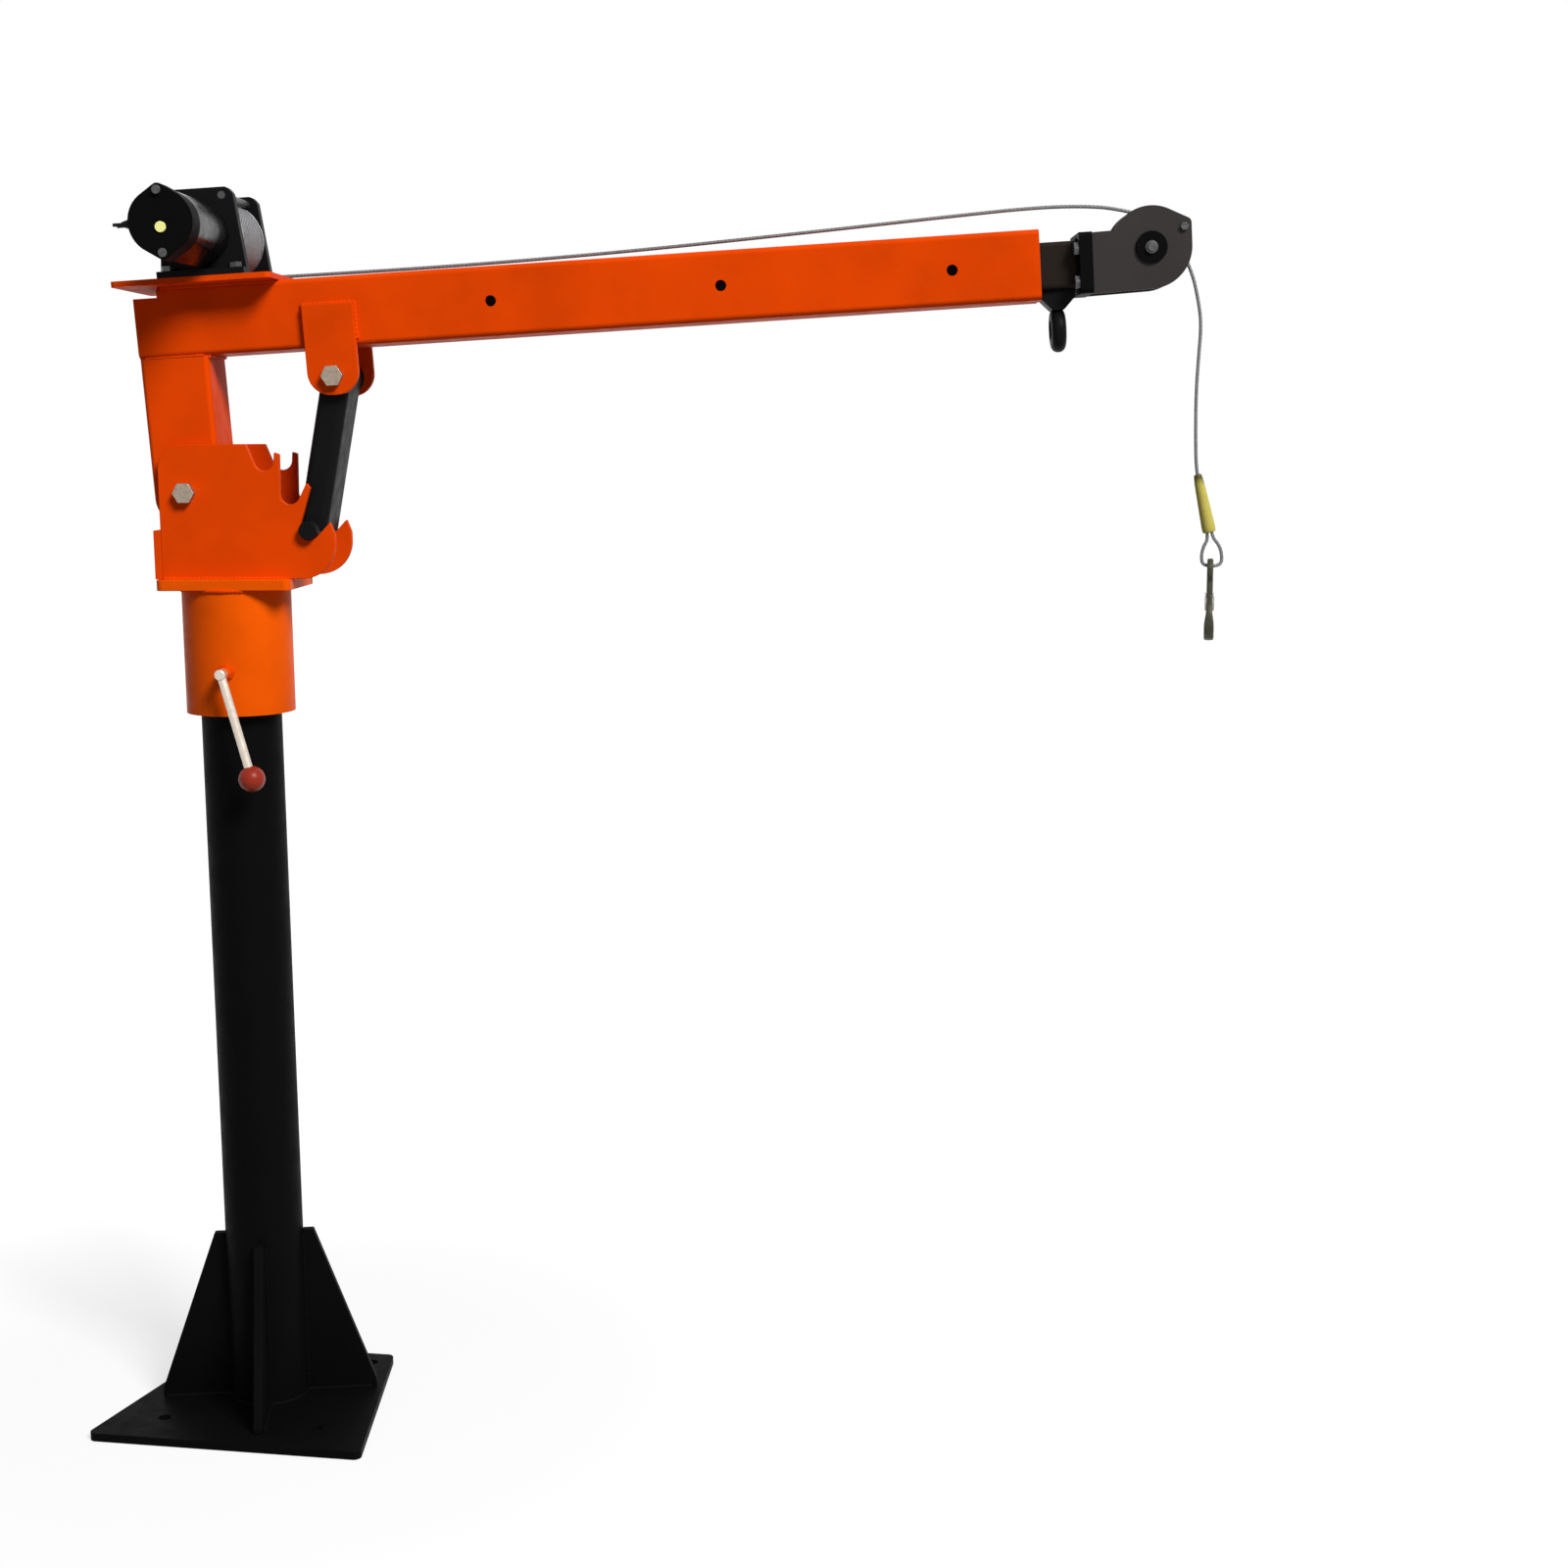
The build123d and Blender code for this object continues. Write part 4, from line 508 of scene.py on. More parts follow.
class Finish:
    """A material under construction: its tree, its shader and the patterns that feed it."""

    def __init__(self, name, **values):
        self.material = bpy.data.materials.new("crane_" + name)
        self.material.use_nodes = True
        self.tree = self.material.node_tree
        self.shader = self.tree.nodes["Principled BSDF"]
        self.place = self.tree.nodes.new("ShaderNodeTexCoord").outputs["Object"]
        for label, value in values.items():
            self.shader.inputs[label.replace("_", " ")].default_value = value

    def noise(self, scale, detail=2.0, stretch=None):
        """A noise pattern in object coordinates, with its grain stretched where asked."""
        place = self.place
        if stretch:
            mapping = self.tree.nodes.new("ShaderNodeMapping")
            mapping.inputs["Scale"].default_value = stretch
            self.tree.links.new(place, mapping.inputs["Vector"])
            place = mapping.outputs["Vector"]
        node = self.tree.nodes.new("ShaderNodeTexNoise")
        node.inputs["Scale"].default_value = scale
        node.inputs["Detail"].default_value = detail
        self.tree.links.new(place, node.inputs["Vector"])
        return node.outputs["Fac"]

    def colours(self, pattern, stops):
        """Base colour from a pattern, by places and colours along a ramp."""
        ramp = self.tree.nodes.new("ShaderNodeValToRGB")
        while len(ramp.color_ramp.elements) < len(stops):
            ramp.color_ramp.elements.new(0.5)
        for element, (place, colour) in zip(ramp.color_ramp.elements, stops):
            element.position = place
            element.color = (*colour, 1.0)
        self.tree.links.new(pattern, ramp.inputs["Fac"])
        self.tree.links.new(ramp.outputs["Color"], self.shader.inputs["Base Color"])

    def roughness(self, pattern, middle, spread):
        """Roughness that varies with a pattern, from below to above a middle value."""
        node = self.tree.nodes.new("ShaderNodeMapRange")
        node.inputs["From Min"].default_value = NOISE_RANGE[0]
        node.inputs["From Max"].default_value = NOISE_RANGE[1]
        node.inputs["To Min"].default_value = middle + spread[0]
        node.inputs["To Max"].default_value = middle + spread[1]
        self.tree.links.new(pattern, node.inputs["Value"])
        self.tree.links.new(node.outputs["Result"], self.shader.inputs["Roughness"])

    def bump(self, pattern, depth, strength=1.0):
        """Relief of a real depth from a pattern."""
        node = self.tree.nodes.new("ShaderNodeBump")
        node.inputs["Distance"].default_value = depth
        node.inputs["Strength"].default_value = strength
        self.tree.links.new(pattern, node.inputs["Height"])
        self.tree.links.new(node.outputs["Normal"], self.shader.inputs["Normal"])


def finish_named(name):
    """A finish that was made before. The frame's own plain materials have the bare names."""
    return bpy.data.materials["crane_" + name]


def shaded(colour, share):
    """A colour made darker or lighter by a share."""
    return tuple(min(1.0, channel * share) for channel in colour)


def ramp_stops(colour, stops):
    """The places of a ramp with the colour made darker or lighter at each."""
    return [(place, shaded(colour, share)) for place, share in stops]


def painted(name, colour, rough, peel, specular, tint=(1.0, 1.0, 1.0)):
    """Sprayed paint: an even colour with slight clouds, and the fine relief that spraying leaves."""
    made = Finish(name, Specular_IOR_Level=specular, Specular_Tint=(*tint, 1.0))
    made.colours(made.noise(*PAINT_CLOUDS), ramp_stops(colour, PAINT_STOPS))
    made.roughness(made.noise(*PAINT_GLOSS), rough, PAINT_SPREAD)
    made.bump(made.noise(*PAINT_PEEL), peel)
    return made.material


def metal(name, colour, rough, grain=(1.0, 1.0, 1.0), metallic=1.0, contrast=0.28):
    """Bare or plated metal with a fine grain."""
    made = Finish(name, Metallic=metallic, Specular_IOR_Level=METAL_SPECULAR)
    streaks = made.noise(*METAL_STREAKS, stretch=grain)
    made.colours(streaks, ramp_stops(colour, [(place, 1 + share * contrast) for place, share in METAL_STOPS]))
    made.roughness(made.noise(*METAL_GLOSS, stretch=grain), rough, METAL_SPREAD)
    made.bump(streaks, METAL_RELIEF)
    return made.material


def moulded(name, colour, rough, specular=0.4):
    """Moulded plastic with a faint matt grain."""
    made = Finish(name, Specular_IOR_Level=specular)
    made.colours(made.noise(*PLASTIC_CLOUDS), ramp_stops(colour, PLASTIC_STOPS))
    made.roughness(made.noise(*PLASTIC_GLOSS), rough, PLASTIC_SPREAD)
    made.bump(made.noise(*PLASTIC_GRAIN), PLASTIC_RELIEF)
    return made.material


def sleeve_plastic(name, colour, top):
    """Soft plastic of the rope's sleeve, darker towards the top where the rope enters it."""
    made = Finish(name, Specular_IOR_Level=SLEEVE_SPECULAR)
    nodes = made.tree.nodes
    links = made.tree.links
    height = nodes.new("ShaderNodeSeparateXYZ")
    links.new(made.place, height.inputs["Vector"])
    top_darkening = nodes.new("ShaderNodeMapRange")
    top_darkening.interpolation_type = "SMOOTHSTEP"
    top_darkening.inputs["From Min"].default_value = top - TOP_DARK_DEPTH
    top_darkening.inputs["From Max"].default_value = top
    links.new(height.outputs["Z"], top_darkening.inputs["Value"])
    clouds = made.noise(*SLEEVE_CLOUDS)
    top_dark_share = nodes.new("ShaderNodeMath")
    top_dark_share.operation = "MULTIPLY_ADD"
    top_dark_share.inputs[1].default_value = TOP_DARK_CLOUDS
    links.new(clouds, top_dark_share.inputs[0])
    links.new(top_darkening.outputs["Result"], top_dark_share.inputs[2])
    made.colours(top_dark_share.outputs[0], ramp_stops(colour, SLEEVE_STOPS))
    made.roughness(made.noise(*PLASTIC_GLOSS), SLEEVE_ROUGHNESS, SLEEVE_SPREAD)
    made.bump(made.noise(*SLEEVE_GRAIN), SLEEVE_RELIEF)
    return made.material


def make_finishes(colours):
    """Every finish by the record's slot name, and the few that single parts have instead."""
    sleeve_top = PULLEY.z + SLEEVE_HEAD[1]
    gloss_black = shaded(colours.black, GLOSS_SHARE)
    return {
        "orange_paint": painted("orange_paint", colours.orange, rough=0.52, peel=0.00010, specular=0.06,
                                tint=WARM),
        # A lit copy of the orange paint: its own tone in part, painted highlight on the sleeve, the flange and the
        # clamp's boss in part.
        "orange_head_and_highlight": painted("orange_head_and_highlight", colours.head, rough=0.44, peel=0.00010, specular=0.08,
                               tint=WARM),
        "black_paint": painted("black_paint", colours.black, rough=0.50, peel=0.00010, specular=0.022),
        "black_gloss": painted("black_gloss", gloss_black, rough=0.42, peel=0.00008, specular=0.035),
        "black_arm": painted("black_arm", colours.arm, rough=0.40, peel=0.00008, specular=0.04),
        "dark_grey": painted("dark_grey", colours.grey, rough=0.50, peel=0.00014, specular=0.12),
        "motor_shell": painted("motor_shell", colours.black, rough=0.24, peel=0.00002, specular=0.30),
        "zinc_steel": metal("zinc_steel", (0.32, 0.26, 0.20), rough=0.44, metallic=0.85, contrast=0.2),
        "bare_steel": metal("bare_steel", (0.30, 0.30, 0.31), rough=0.44, grain=(1.0, 0.15, 1.0)),
        "hook_steel": metal("hook_steel", (0.052, 0.052, 0.034), rough=0.52, metallic=0.6),
        "wire_rope": metal("wire_rope", (0.18, 0.18, 0.185), rough=0.58, metallic=0.5, contrast=0.2),
        "bronze": metal("bronze", (0.42, 0.24, 0.09), rough=0.38),
        "slide_plastic": moulded("slide_plastic", (0.62, 0.60, 0.54), rough=0.55, specular=0.2),
        "red_knob": moulded("red_knob", colours.ball, rough=0.36, specular=0.16),
        "yellow_sleeve": sleeve_plastic("yellow_sleeve", colours.sleeve, sleeve_top),
        "yellow_plug": moulded("yellow_plug", colours.plug, rough=0.50, specular=0.2),
        "black_plastic": moulded("black_plastic", (0.005, 0.005, 0.005), rough=0.48, specular=0.08),
        "bright_rod": metal("bright_rod", (0.65, 0.57, 0.49), rough=0.36, metallic=0.7, contrast=0.10),
        "dark_bolts": metal("dark_bolts", (0.085, 0.085, 0.088), rough=0.40, metallic=0.85),
        "bright_latch": metal("bright_latch", (0.66, 0.60, 0.57), rough=0.40, metallic=0.85, contrast=0.12),
    }


OWN_FINISH = {"latch": "bright_latch", "lock_rod": "bright_rod", "lock_screw": "bright_rod",
              "head_bolts": "dark_bolts", "winch_bolts": "dark_bolts", "motor_screws": "dark_bolts",
              "winch_tie_rods": "dark_bolts", "pulley_pin": "dark_bolts", "arm_tube": "black_arm",
              "sleeve": "orange_head_and_highlight", "flange_plate": "orange_head_and_highlight", "lock_boss": "orange_head_and_highlight",
              "strut_tube": "black_gloss", "strut_bar": "black_gloss", "tip_eye": "black_gloss",
              "winch_bracket_near": "black_gloss", "winch_bracket_far": "black_gloss"}


class CRANE_OT_finish_parts(Operator):
    """Make the finishes and put each on the parts that the record gives it to."""
    bl_idname = "crane.finish_parts"
    bl_label = "Finish the parts"

    def execute(self, context):
        finishes = make_finishes(context.scene.crane_finish)
        for node, part in frame["nodes"].items():
            part.data.materials.clear()
            part.data.materials.append(finishes[OWN_FINISH.get(node, SLOT_OF[node])])
        return {"FINISHED"}


FINE_NODES = ("pivot_bolt", "lug_pin", "head_bolts", "winch_bolts", "motor_screws", "motor_plug",
              "pulley_pin", "pulley_washers", "latch", "lock_screw", "lock_rod", "motor_terminals",
              "clutch_knob", "winch_drum", "pulley", "head_flange", "arm_flange")
CUT_NODES = ("base_plate", "gussets", "flange_plate", "notched_plate_near", "notched_plate_far",
             "back_plate", "sleeve", "lock_boss", "boom_tube", "mast_tube", "boom_lugs", "winch_plate",
             "winch_bracket_near", "winch_bracket_far", "strut_tube", "strut_bar", "motor_cover",
             "motor_can", "gearbox", "arm_tube", "tip_eye")
SOFT_NODES = ("cheek_near", "cheek_far")


def soften(part, width, segments):
    """Round a part's sharp edges with modifiers, after its triangles are joined to flat faces."""
    weld = part.modifiers.new("join", "WELD")
    weld.merge_threshold = JOIN_DISTANCE
    flat = part.modifiers.new("flat faces", "DECIMATE")
    flat.decimate_type = "DISSOLVE"
    flat.angle_limit = FLAT_ANGLE
    edge = part.modifiers.new("rounded edges", "BEVEL")
    edge.width = width
    edge.segments = segments
    edge.limit_method = "ANGLE"
    edge.angle_limit = BEVEL_ANGLE
    edge.miter_outer = "MITER_ARC"
    edge.use_clamp_overlap = True
    normals = part.modifiers.new("face normals", "WEIGHTED_NORMAL")
    normals.keep_sharp = False


class CRANE_OT_round_edges(Operator):
    """Round the edges of plates, tubes, castings and bolts."""
    bl_idname = "crane.round_edges"
    bl_label = "Round the edges"

    def execute(self, context):
        edges = context.scene.crane_edges
        for names, width in ((CUT_NODES, edges.cut), (FINE_NODES, edges.fine), (SOFT_NODES, edges.soft)):
            for name in names:
                soften(frame["nodes"][name], width, edges.segments)
        return {"FINISHED"}


def rope_routes():
    """The control points of the rope's five stretches."""
    rise = WINDING_PITCH / POINTS_PER_TURN
    radius = WINDING_RADIUS / cos(pi / POINTS_PER_TURN)
    winding = []
    for step in range(-WINDING_TURNS * POINTS_PER_TURN, 1):
        angle = 2 * pi * step / POINTS_PER_TURN - pi / 2
        centre = WINCH + (WINDING_END + rise * step - WINCH.y) * SIDE
        winding.append(centre + radius * (cos(angle) * ALONG + sin(angle) * RISE))
    winding[-1] = WINCH + (WINDING_END - WINCH.y) * SIDE - WINDING_RADIUS * RISE
    winding.append(winding[-1] + WINDING_TAIL * ALONG)

    drum = Vector((WINCH.x, 0.0, WINCH.z))
    flat = [drum + along * ALONG + rise * RISE for along, rise in RUN_AT_DRUM]
    flat += [PULLEY + along * ALONG + rise * RISE for along, rise in RUN_AT_PULLEY]
    reach = (flat[-1] - flat[0]).dot(ALONG)
    run = [point + WINDING_END * (flat[-1] - point).dot(ALONG) / reach * SIDE for point in flat]
    last = (flat[-1] - PULLEY)
    on = atan2(last.z, last.x) - acos(PULLEY_ROPE_RADIUS / last.length)
    first_x, first_z = DROP_POINTS[0]
    off = atan2(first_z, first_x) + acos(PULLEY_ROPE_RADIUS / hypot(first_x, first_z))
    on_point = beside(PULLEY, PULLEY_ROPE_RADIUS * cos(on), PULLEY_ROPE_RADIUS * sin(on))
    off_point = beside(PULLEY, PULLEY_ROPE_RADIUS * cos(off), PULLEY_ROPE_RADIUS * sin(off))
    run.append(on_point)
    crest = PULLEY_ROPE_RADIUS / cos((on - off) / 2)
    middle = (on + off) / 2
    wrap = [on_point, beside(PULLEY, crest * cos(middle), crest * sin(middle)), off_point]

    head = beside(PULLEY, *SLEEVE_HEAD)
    foot = beside(PULLEY, *SLEEVE_FOOT)
    way = (foot - head).normalized()
    fall = [off_point] + [beside(PULLEY, x, z) for x, z in DROP_POINTS] + [head - SLEEVE_LEAD * way, head]
    apart = LOOP_SPREAD * Vector((-way.z, 0.0, way.x))
    eye = beside(PULLEY, *HOOK_PLACE)
    loop = [foot + apart - SLEEVE_LEAD * way, foot + apart + SLEEVE_LEAD * way]
    loop += [beside(eye, x, z) for x, z in LOOP_POINTS]
    loop += [foot - apart + SLEEVE_LEAD * way, foot - apart - SLEEVE_LEAD * way]
    return {"winding": winding, "run": run, "wrap": wrap, "drop": fall, "loop": loop}


class CRANE_OT_wire_rope(Operator):
    """Lay the wire rope on the drum, over the boom and the pulley, and down to the hook."""
    bl_idname = "crane.wire_rope"
    bl_label = "Lay the wire rope"

    def execute(self, context):
        rope = context.scene.crane_rope
        sizes = {"Diameter": rope.diameter, "Lay": rope.lay, "Strands": rope.strands, "Valley": rope.valley,
                 "Ring step": rope.ring_step, "Material": finish_named("wire_rope")}
        tree = rope_tree()
        lines = {name: nurbs_points(points) for name, points in rope_routes().items()}
        made = {}
        for name, line in lines.items():
            made[name] = grow("wire_rope_" + name, tree, [line], sizes)
            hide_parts("rope_" + name)
        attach(made["winding"], "drum")
        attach(made["loop"], "hook")
        between = (("run", "boom", "arm"), ("wrap", "arm", "fall"), ("drop", "fall", "hook"))
        for name, first, second in between:
            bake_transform(made[name])
        return {"FINISHED"}


def spun_sleeve(name, head, foot):
    """The sleeve's turned body from head to foot."""
    way = foot - head
    turn = way.to_track_quat("Z", "Y")
    mesh = bpy.data.meshes.new(name)
    points = []
    for share, radius in SLEEVE_PROFILE:
        for k in range(SLEEVE_SIDES):
            angle = 2 * pi * k / SLEEVE_SIDES
            points.append(head + share * way + turn @ Vector((radius * cos(angle), radius * sin(angle), 0.0)))
    faces = [tuple(range(SLEEVE_SIDES - 1, -1, -1))]
    for ring in range(len(SLEEVE_PROFILE) - 1):
        for k in range(SLEEVE_SIDES):
            low = ring * SLEEVE_SIDES
            high = low + SLEEVE_SIDES
            nxt = (k + 1) % SLEEVE_SIDES
            faces.append((low + k, low + nxt, high + nxt, high + k))
    last = (len(SLEEVE_PROFILE) - 1) * SLEEVE_SIDES
    faces.append(tuple(range(last, last + SLEEVE_SIDES)))
    mesh.from_pydata(points, [], faces)
    for face in mesh.polygons:
        face.use_smooth = len(face.vertices) == 4
    return link(name, mesh)


class CRANE_OT_lifting_hook(Operator):
    """Forge the hook, and draw the sleeve over the rope's end."""
    bl_idname = "crane.lifting_hook"
    bl_label = "Forge the hook"

    def execute(self, context):
        sizes = context.scene.crane_hook
        hook = frame["nodes"]["hook"]
        hook.modifiers.new("join", "WELD").merge_threshold = JOIN_DISTANCE
        skin = hook.modifiers.new("skin", "REMESH")
        skin.mode = "VOXEL"
        skin.voxel_size = sizes.voxel
        skin.use_smooth_shade = True
        inside = hook.matrix_world.inverted()
        turn = inside.to_3x3()
        run_tree(hook, forging_tree(), {"Eye": inside @ beside(PULLEY, *HOOK_PLACE), "Side": turn @ HOOK_SIDE,
                                        "Down": turn @ Vector((0.0, 0.0, -1.0)), "Start": sizes.start,
                                        "Full": sizes.full, "Swell": sizes.swell,
                                        "Material": finish_named("hook_steel")})
        smooth = hook.modifiers.new("smooth", "SMOOTH")
        smooth.factor = SMOOTH_FACTOR
        smooth.iterations = sizes.rounds

        head = beside(PULLEY, *SLEEVE_HEAD)
        foot = beside(PULLEY, *SLEEVE_FOOT)
        sleeve = spun_sleeve("yellow_rope_sleeve", head, foot)
        sleeve.data.materials.append(finish_named("yellow_sleeve"))
        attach(sleeve, "hook")
        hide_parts("rope_sleeve")

        routes = rope_routes()
        line = nurbs_points(routes["drop"])
        line = nurbs_points(routes["loop"])
        return {"FINISHED"}


def ring_chain(centre, first, second, radius):
    """A closed ring of points about a centre, in the plane of two directions."""
    angles = [2 * pi * k / RING_POINTS for k in range(RING_POINTS + 1)]
    return [centre + radius * (cos(angle) * first + sin(angle) * second) for angle in angles]


def boom_beads(bead):
    """Fillet welds on the boom: the lugs, the mast's front and the winch plate."""
    low = -TUBE / 2
    mast_off = MAST_BEAD_OFF * bead
    chains = [[on_boom(MAST_FRONT + mast_off, low - mast_off, way * MAST_BEAD_HALF) for way in SIDES]]
    off = LUG_BEAD_OFF * bead
    foot = low + LUG_BEAD_FOOT
    for way in SIDES:
        wall = way * (TUBE / 2 + off)
        left = LUG_LEFT - off
        right = LUG_RIGHT + off
        top = LUG_TOP + off
        chains.append([on_boom(left, foot, wall), on_boom(left, top, wall)])
        chains.append([on_boom(left, top, wall), on_boom(right, top, wall)])
        chains.append([on_boom(right, foot, wall), on_boom(right, top, wall)])
        under = TUBE / 2 - WINCH_BEAD_DROP
        chains.append([on_boom(along, under, way * WINCH_BEAD_SIDE) for along in WINCH_WELD])
    return chains


def boom_seams():
    """Flat seams between the mast and the boom."""
    wall = TUBE / 2 - SEAM_DEPTH
    ends = (MAST_BACK + SEAM_BACK, MAST_FRONT - SEAM_FRONT)
    return [[on_boom(along, -TUBE / 2, way * wall) for along in ends] for way in SIDES]


def swivel_beads(bead):
    """Fillet welds on the swivel head: notched plates, flange, sleeve and the clamp screw's boss."""
    flange_low, flange_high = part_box("flange_plate")
    plate_low, plate_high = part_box("notched_plate_near")
    off = BEAD_OFF * bead
    top = flange_high.z + off
    chains = []
    for way in SIDES:
        wall = way * (-plate_low.y + off)
        ends = (plate_low.x + PLATE_BEAD_BACK, flange_high.x - PLATE_BEAD_FRONT)
        chains.append([Vector((x, wall, top)) for x in ends])
    centre = Vector((0.0, 0.0, flange_low.z - off))
    chains.append(ring_chain(centre, Vector((1, 0, 0)), SIDE, SLEEVE_RADIUS + off))
    boss = []
    for step in range(BOSS_POINTS + 1):
        angle = 2 * pi * step / BOSS_POINTS
        x = (BOSS_RADIUS + off) * cos(angle)
        z = CLAMP.z + (BOSS_RADIUS + off) * sin(angle)
        boss.append(Vector((x, -sqrt(SLEEVE_RADIUS ** 2 - x ** 2) - BOSS_BEAD_OFF * bead, z)))
    chains.append(boss)
    return chains


def base_beads(bead):
    """Fillet welds on the base: the post and the gussets."""
    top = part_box("base_plate")[1].z + BEAD_OFF * bead
    chains = [ring_chain(Vector((0.0, 0.0, top)), Vector((1, 0, 0)), SIDE, POST_RADIUS + BEAD_OFF * bead)]
    off = GUSSET_HALF + BEAD_OFF * bead
    for turn in GUSSET_TURNS:
        out = Vector((cos(radians(turn)), sin(radians(turn)), 0.0))
        tangent = Vector((-out.y, out.x, 0.0))
        for way in SIDES:
            face = way * off * tangent
            wall = sqrt(POST_RADIUS ** 2 - off ** 2) + BEAD_OFF * bead
            chains.append([face + wall * out + Vector((0, 0, z)) for z in (top, GUSSET_TOP)])
            chains.append([face + reach * out + Vector((0, 0, top)) for reach in (wall, GUSSET_TOE)])
    return chains


def arm_beads(bead):
    """Fillet welds on the arm: its flange and the eye's lug."""
    off = BEAD_OFF * bead
    skin = ARM_HALF + off
    back = ARM_END - off
    low = -ARM_DROP - skin
    chains = [[on_boom(back, rise, way * ARM_BEAD_HALF) for way in SIDES] for rise in (low, skin - ARM_DROP)]
    for way in SIDES:
        chains.append([on_boom(back, rise, way * skin) for rise in ARM_BEAD_RISE])
        chains.append([on_boom(along, low, way * (EYE_LUG_HALF + off))
                       for along in (BOOM_MOUTH + EYE_BEAD_BACK, ARM_END - EYE_BEAD_FRONT)])
    return chains


def head_beads(bead):
    """Fillet welds between the head's flange and its cheeks."""
    off = BEAD_OFF * bead
    wall = CHEEK_OUTSIDE + off
    return [[on_boom(HEAD_FACE + off, rise, way * wall) for rise in HEAD_WELD] for way in SIDES]


class CRANE_OT_weld_beads(Operator):
    """Run weld beads along the joints of the welded frames."""
    bl_idname = "crane.weld_beads"
    bl_label = "Run the weld beads"

    def execute(self, context):
        weld = context.scene.crane_weld
        tree = weld_tree()
        runs = (("boom_welds", "boom", "orange_paint", boom_beads(weld.bead), weld.bead),
                ("boom_seams", "boom", "orange_paint", boom_seams(), weld.seam),
                ("swivel_welds", "swivel", "orange_paint", swivel_beads(weld.bead), weld.bead),
                ("base_welds", "base", "black_paint", base_beads(weld.bead), weld.bead),
                ("arm_welds", "arm", "black_paint", arm_beads(weld.bead), SMALL_BEAD * weld.bead),
                ("head_welds", "arm", "dark_grey", head_beads(weld.bead), SMALL_BEAD * weld.bead))
        for name, body, finish, chains, radius in runs:
            sizes = {"Radius": radius, "Pitch": weld.pitch, "Ripple": weld.ripple,
                     "Ring step": weld.ring_step, "Material": finish_named(finish)}
            piece = grow(name, tree, chains, sizes)
            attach(piece, body)
        return {"FINISHED"}


def make_camera():
    """A camera that was fitted to the photograph."""
    ahead = Vector((sin(CAMERA_YAW), cos(CAMERA_YAW), 0.0))
    right = Vector((cos(CAMERA_YAW), -sin(CAMERA_YAW), 0.0))
    plumb = Vector((0.0, 0.0, 1.0))
    look = cos(CAMERA_PITCH) * ahead - sin(CAMERA_PITCH) * plumb
    up = sin(CAMERA_PITCH) * ahead + cos(CAMERA_PITCH) * plumb
    rolled_right = cos(CAMERA_ROLL) * right + sin(CAMERA_ROLL) * up
    rolled_up = cos(CAMERA_ROLL) * up - sin(CAMERA_ROLL) * right
    camera = link("camera", bpy.data.cameras.new("camera"))
    camera.data.sensor_width = SENSOR_MM
    camera.data.lens = FOCAL_PIXELS / IMAGE_SIDE * SENSOR_MM
    place = Matrix((rolled_right, rolled_up, -look)).transposed().to_4x4()
    place.translation = CAMERA_PLACE
    camera.matrix_world = place
    bpy.context.scene.camera = camera


def lamp(name, power, size, place, target):
    """A square soft lamp that faces a point."""
    data = bpy.data.lights.new(name, "AREA")
    data.energy = power
    data.size = size
    light = link(name, data)
    light.location = place
    light.rotation_euler = (Vector(target) - Vector(place)).to_track_quat("-Z", "Y").to_euler()


def seen_rays(tree):
    """One for rays that show the background: from the camera, off gloss and through glass."""
    path = tree.nodes.new("ShaderNodeLightPath")
    total = path.outputs["Is Camera Ray"]
    for label in ("Is Glossy Ray", "Is Transmission Ray"):
        either = tree.nodes.new("ShaderNodeMath")
        either.operation = "MAXIMUM"
        tree.links.new(total, either.inputs[0])
        tree.links.new(path.outputs[label], either.inputs[1])
        total = either.outputs[0]
    return total


def make_sky(strength):
    """White to the eye and in gloss, and a plain even light on the object."""
    world = bpy.data.worlds.new("studio")
    world.use_nodes = True
    tree = world.node_tree
    background = tree.nodes["Background"]
    background.inputs["Color"].default_value = WHITE
    level = tree.nodes.new("ShaderNodeMapRange")
    level.inputs["To Min"].default_value = strength
    level.inputs["To Max"].default_value = 1.0
    tree.links.new(seen_rays(tree), level.inputs["Value"])
    tree.links.new(level.outputs["Result"], background.inputs["Strength"])
    bpy.context.scene.world = world


def make_floor(side):
    """A pale floor that shows as white and keeps the shadow."""
    half = side / 2
    mesh = bpy.data.meshes.new("studio_floor")
    mesh.from_pydata([(-half, -half, 0.0), (half, -half, 0.0), (half, half, 0.0), (-half, half, 0.0)], [],
                     [(0, 1, 2, 3)])
    floor = link("studio_floor", mesh)
    material = bpy.data.materials.new("studio_floor")
    material.use_nodes = True
    tree = material.node_tree
    shader = tree.nodes["Principled BSDF"]
    shader.inputs["Base Color"].default_value = FLOOR_COLOUR
    shader.inputs["Roughness"].default_value = FLOOR_ROUGHNESS
    shader.inputs["Specular IOR Level"].default_value = 0.0
    shader.inputs["Emission Color"].default_value = WHITE
    place = tree.nodes.new("ShaderNodeTexCoord").outputs["Object"]
    away = tree.nodes.new("ShaderNodeVectorMath")
    away.operation = "LENGTH"
    tree.links.new(place, away.inputs[0])
    fade = tree.nodes.new("ShaderNodeMapRange")
    fade.interpolation_type = "SMOOTHSTEP"
    fade.inputs["From Min"].default_value = FLOOR_FADE[0]
    fade.inputs["From Max"].default_value = FLOOR_FADE[1]
    fade.inputs["To Min"].default_value = FLOOR_GLOW[0]
    fade.inputs["To Max"].default_value = FLOOR_GLOW[1]
    tree.links.new(away.outputs["Value"], fade.inputs["Value"])
    glow = tree.nodes.new("ShaderNodeMath")
    glow.operation = "MULTIPLY"
    tree.links.new(seen_rays(tree), glow.inputs[0])
    tree.links.new(fade.outputs["Result"], glow.inputs[1])
    tree.links.new(glow.outputs[0], shader.inputs["Emission Strength"])
    mesh.materials.append(material)


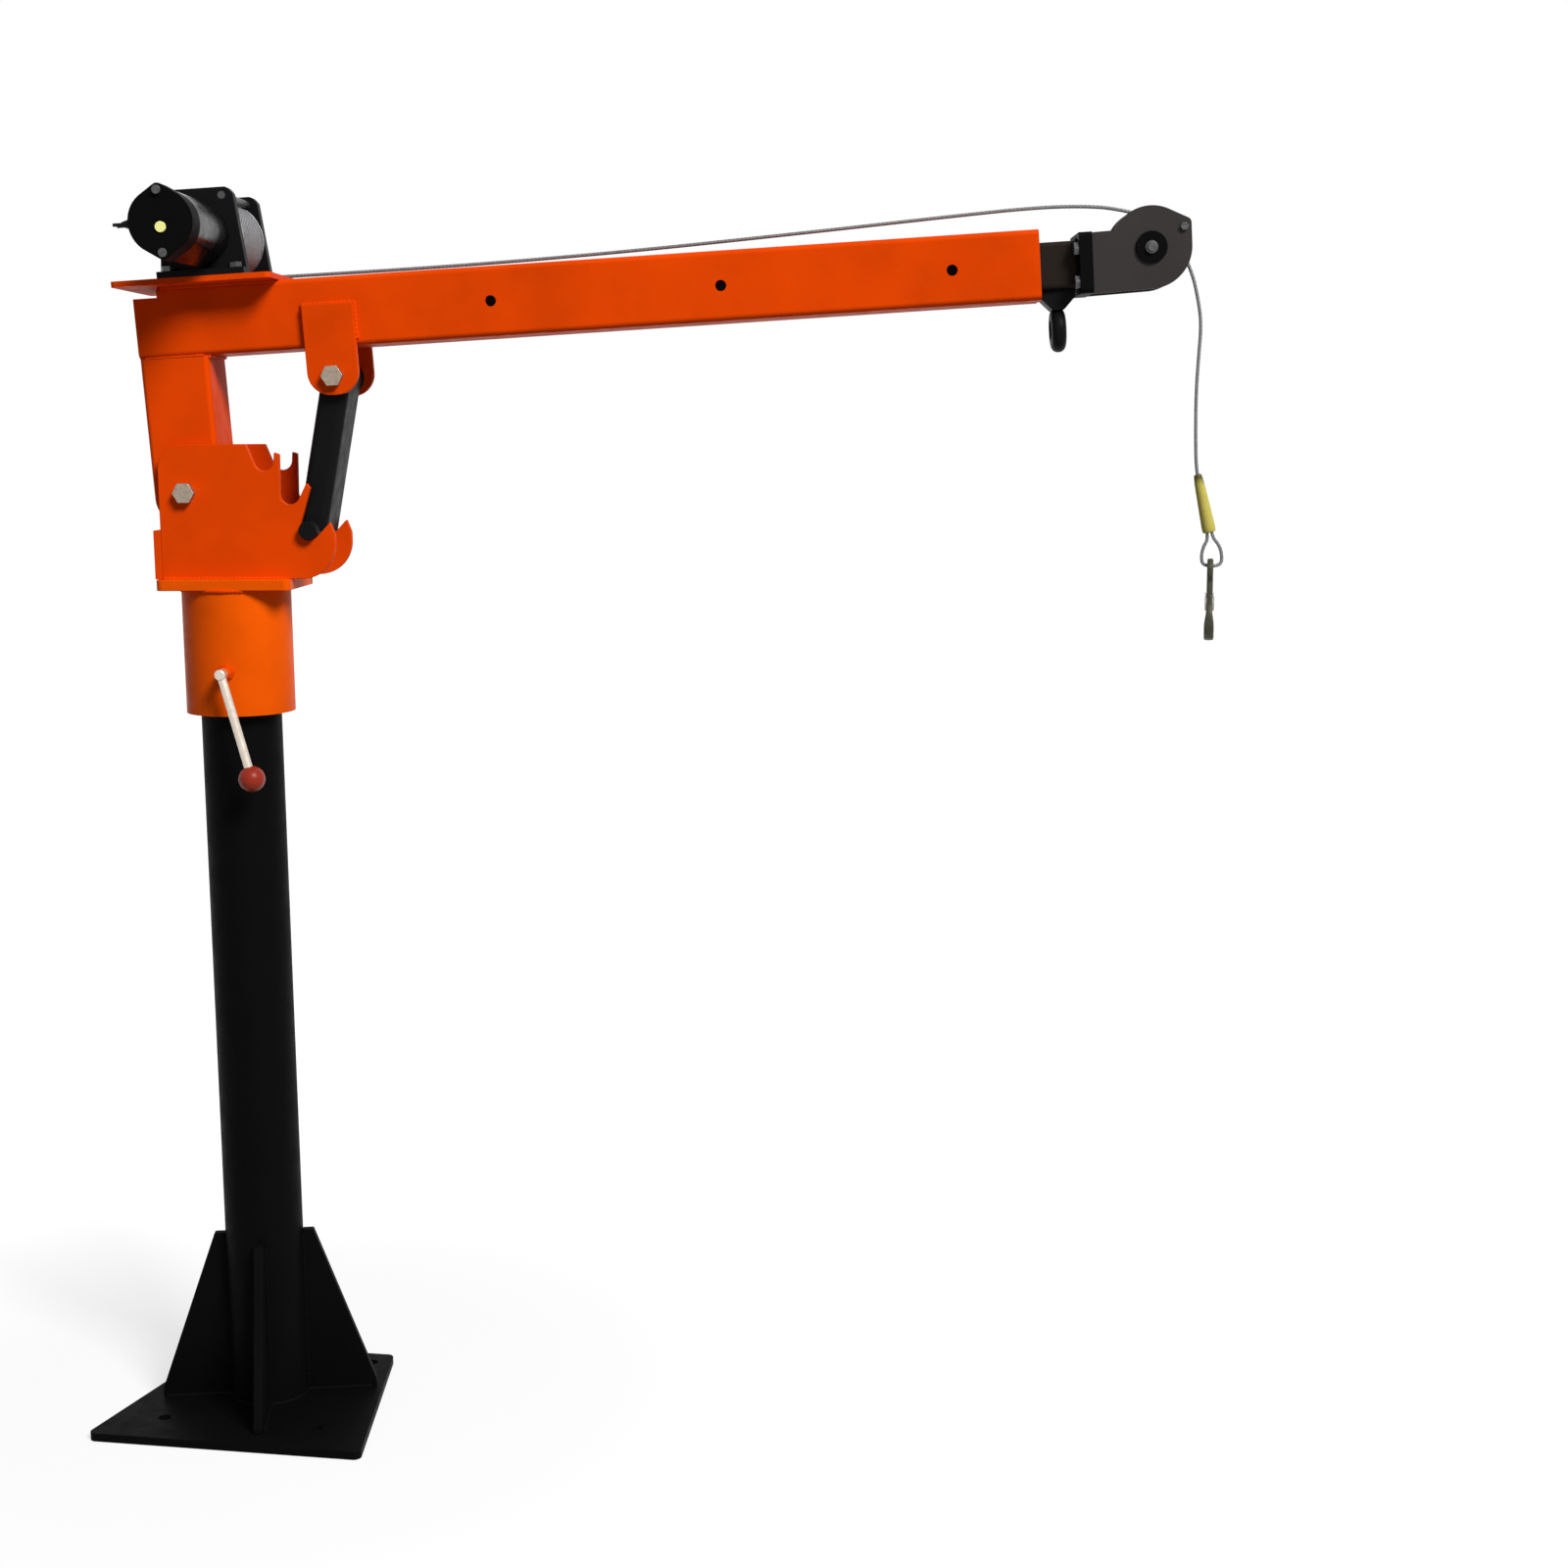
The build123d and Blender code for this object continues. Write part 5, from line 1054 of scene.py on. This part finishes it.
class CRANE_OT_studio(Operator):
    """Set up the camera, the lamps, the white surround and the floor."""
    bl_idname = "crane.studio"
    bl_label = "Set up the studio"

    def execute(self, context):
        stage = context.scene.crane_stage
        make_camera()
        make_sky(stage.sky)
        make_floor(stage.floor)
        lamp("key_lamp", stage.key, KEY_SIZE, KEY_PLACE, KEY_TARGET)
        lamp("fill_lamp", stage.fill, FILL_SIZE, FILL_PLACE, FILL_TARGET)
        context.scene.view_settings.view_transform = "Standard"
        return {"FINISHED"}


STEPS = (CRANE_OT_finish_parts, CRANE_OT_round_edges, CRANE_OT_wire_rope, CRANE_OT_lifting_hook,
         CRANE_OT_weld_beads, CRANE_OT_studio)
SETTINGS = (("crane_rope", CraneRopeSettings), ("crane_weld", CraneWeldSettings),
            ("crane_edges", CraneEdgeSettings), ("crane_hook", CraneHookSettings),
            ("crane_finish", CraneFinishSettings), ("crane_stage", CraneStageSettings))


class CRANE_PT_dressing(Panel):
    """The crane's steps and settings in the sidebar."""
    bl_idname = "CRANE_PT_dressing"
    bl_label = "Pillar crane"
    bl_space_type = "VIEW_3D"
    bl_region_type = "UI"
    bl_category = "Crane"

    def draw(self, context):
        for step in STEPS:
            self.layout.operator(step.bl_idname)
        for name, group in SETTINGS:
            box = self.layout.box()
            box.label(text=group.__doc__)
            for label in group.__annotations__:
                box.prop(getattr(context.scene, name), label)


def register():
    """Make the settings, the steps and the panel known."""
    for name, group in SETTINGS:
        bpy.utils.register_class(group)
        setattr(bpy.types.Scene, name, PointerProperty(type=group))
    for kind in (*STEPS, CRANE_PT_dressing):
        bpy.utils.register_class(kind)


def unregister():
    """Take the panel, the steps and the settings away again."""
    for kind in reversed((*STEPS, CRANE_PT_dressing)):
        bpy.utils.unregister_class(kind)
    for name, group in reversed(SETTINGS):
        delattr(bpy.types.Scene, name)
        bpy.utils.unregister_class(group)


def corners(box):
    """A box as plain lists of numbers."""
    return [[float(value) for value in corner] for corner in box]


def main():
    """Dress the crane in order."""
    register()
    bpy.ops.crane.finish_parts()
    bpy.ops.crane.round_edges()
    bpy.ops.crane.wire_rope()
    bpy.ops.crane.lifting_hook()
    bpy.ops.crane.weld_beads()
    bpy.ops.crane.studio()
    bpy.context.view_layer.update()


if __name__ == "__main__":
    main()
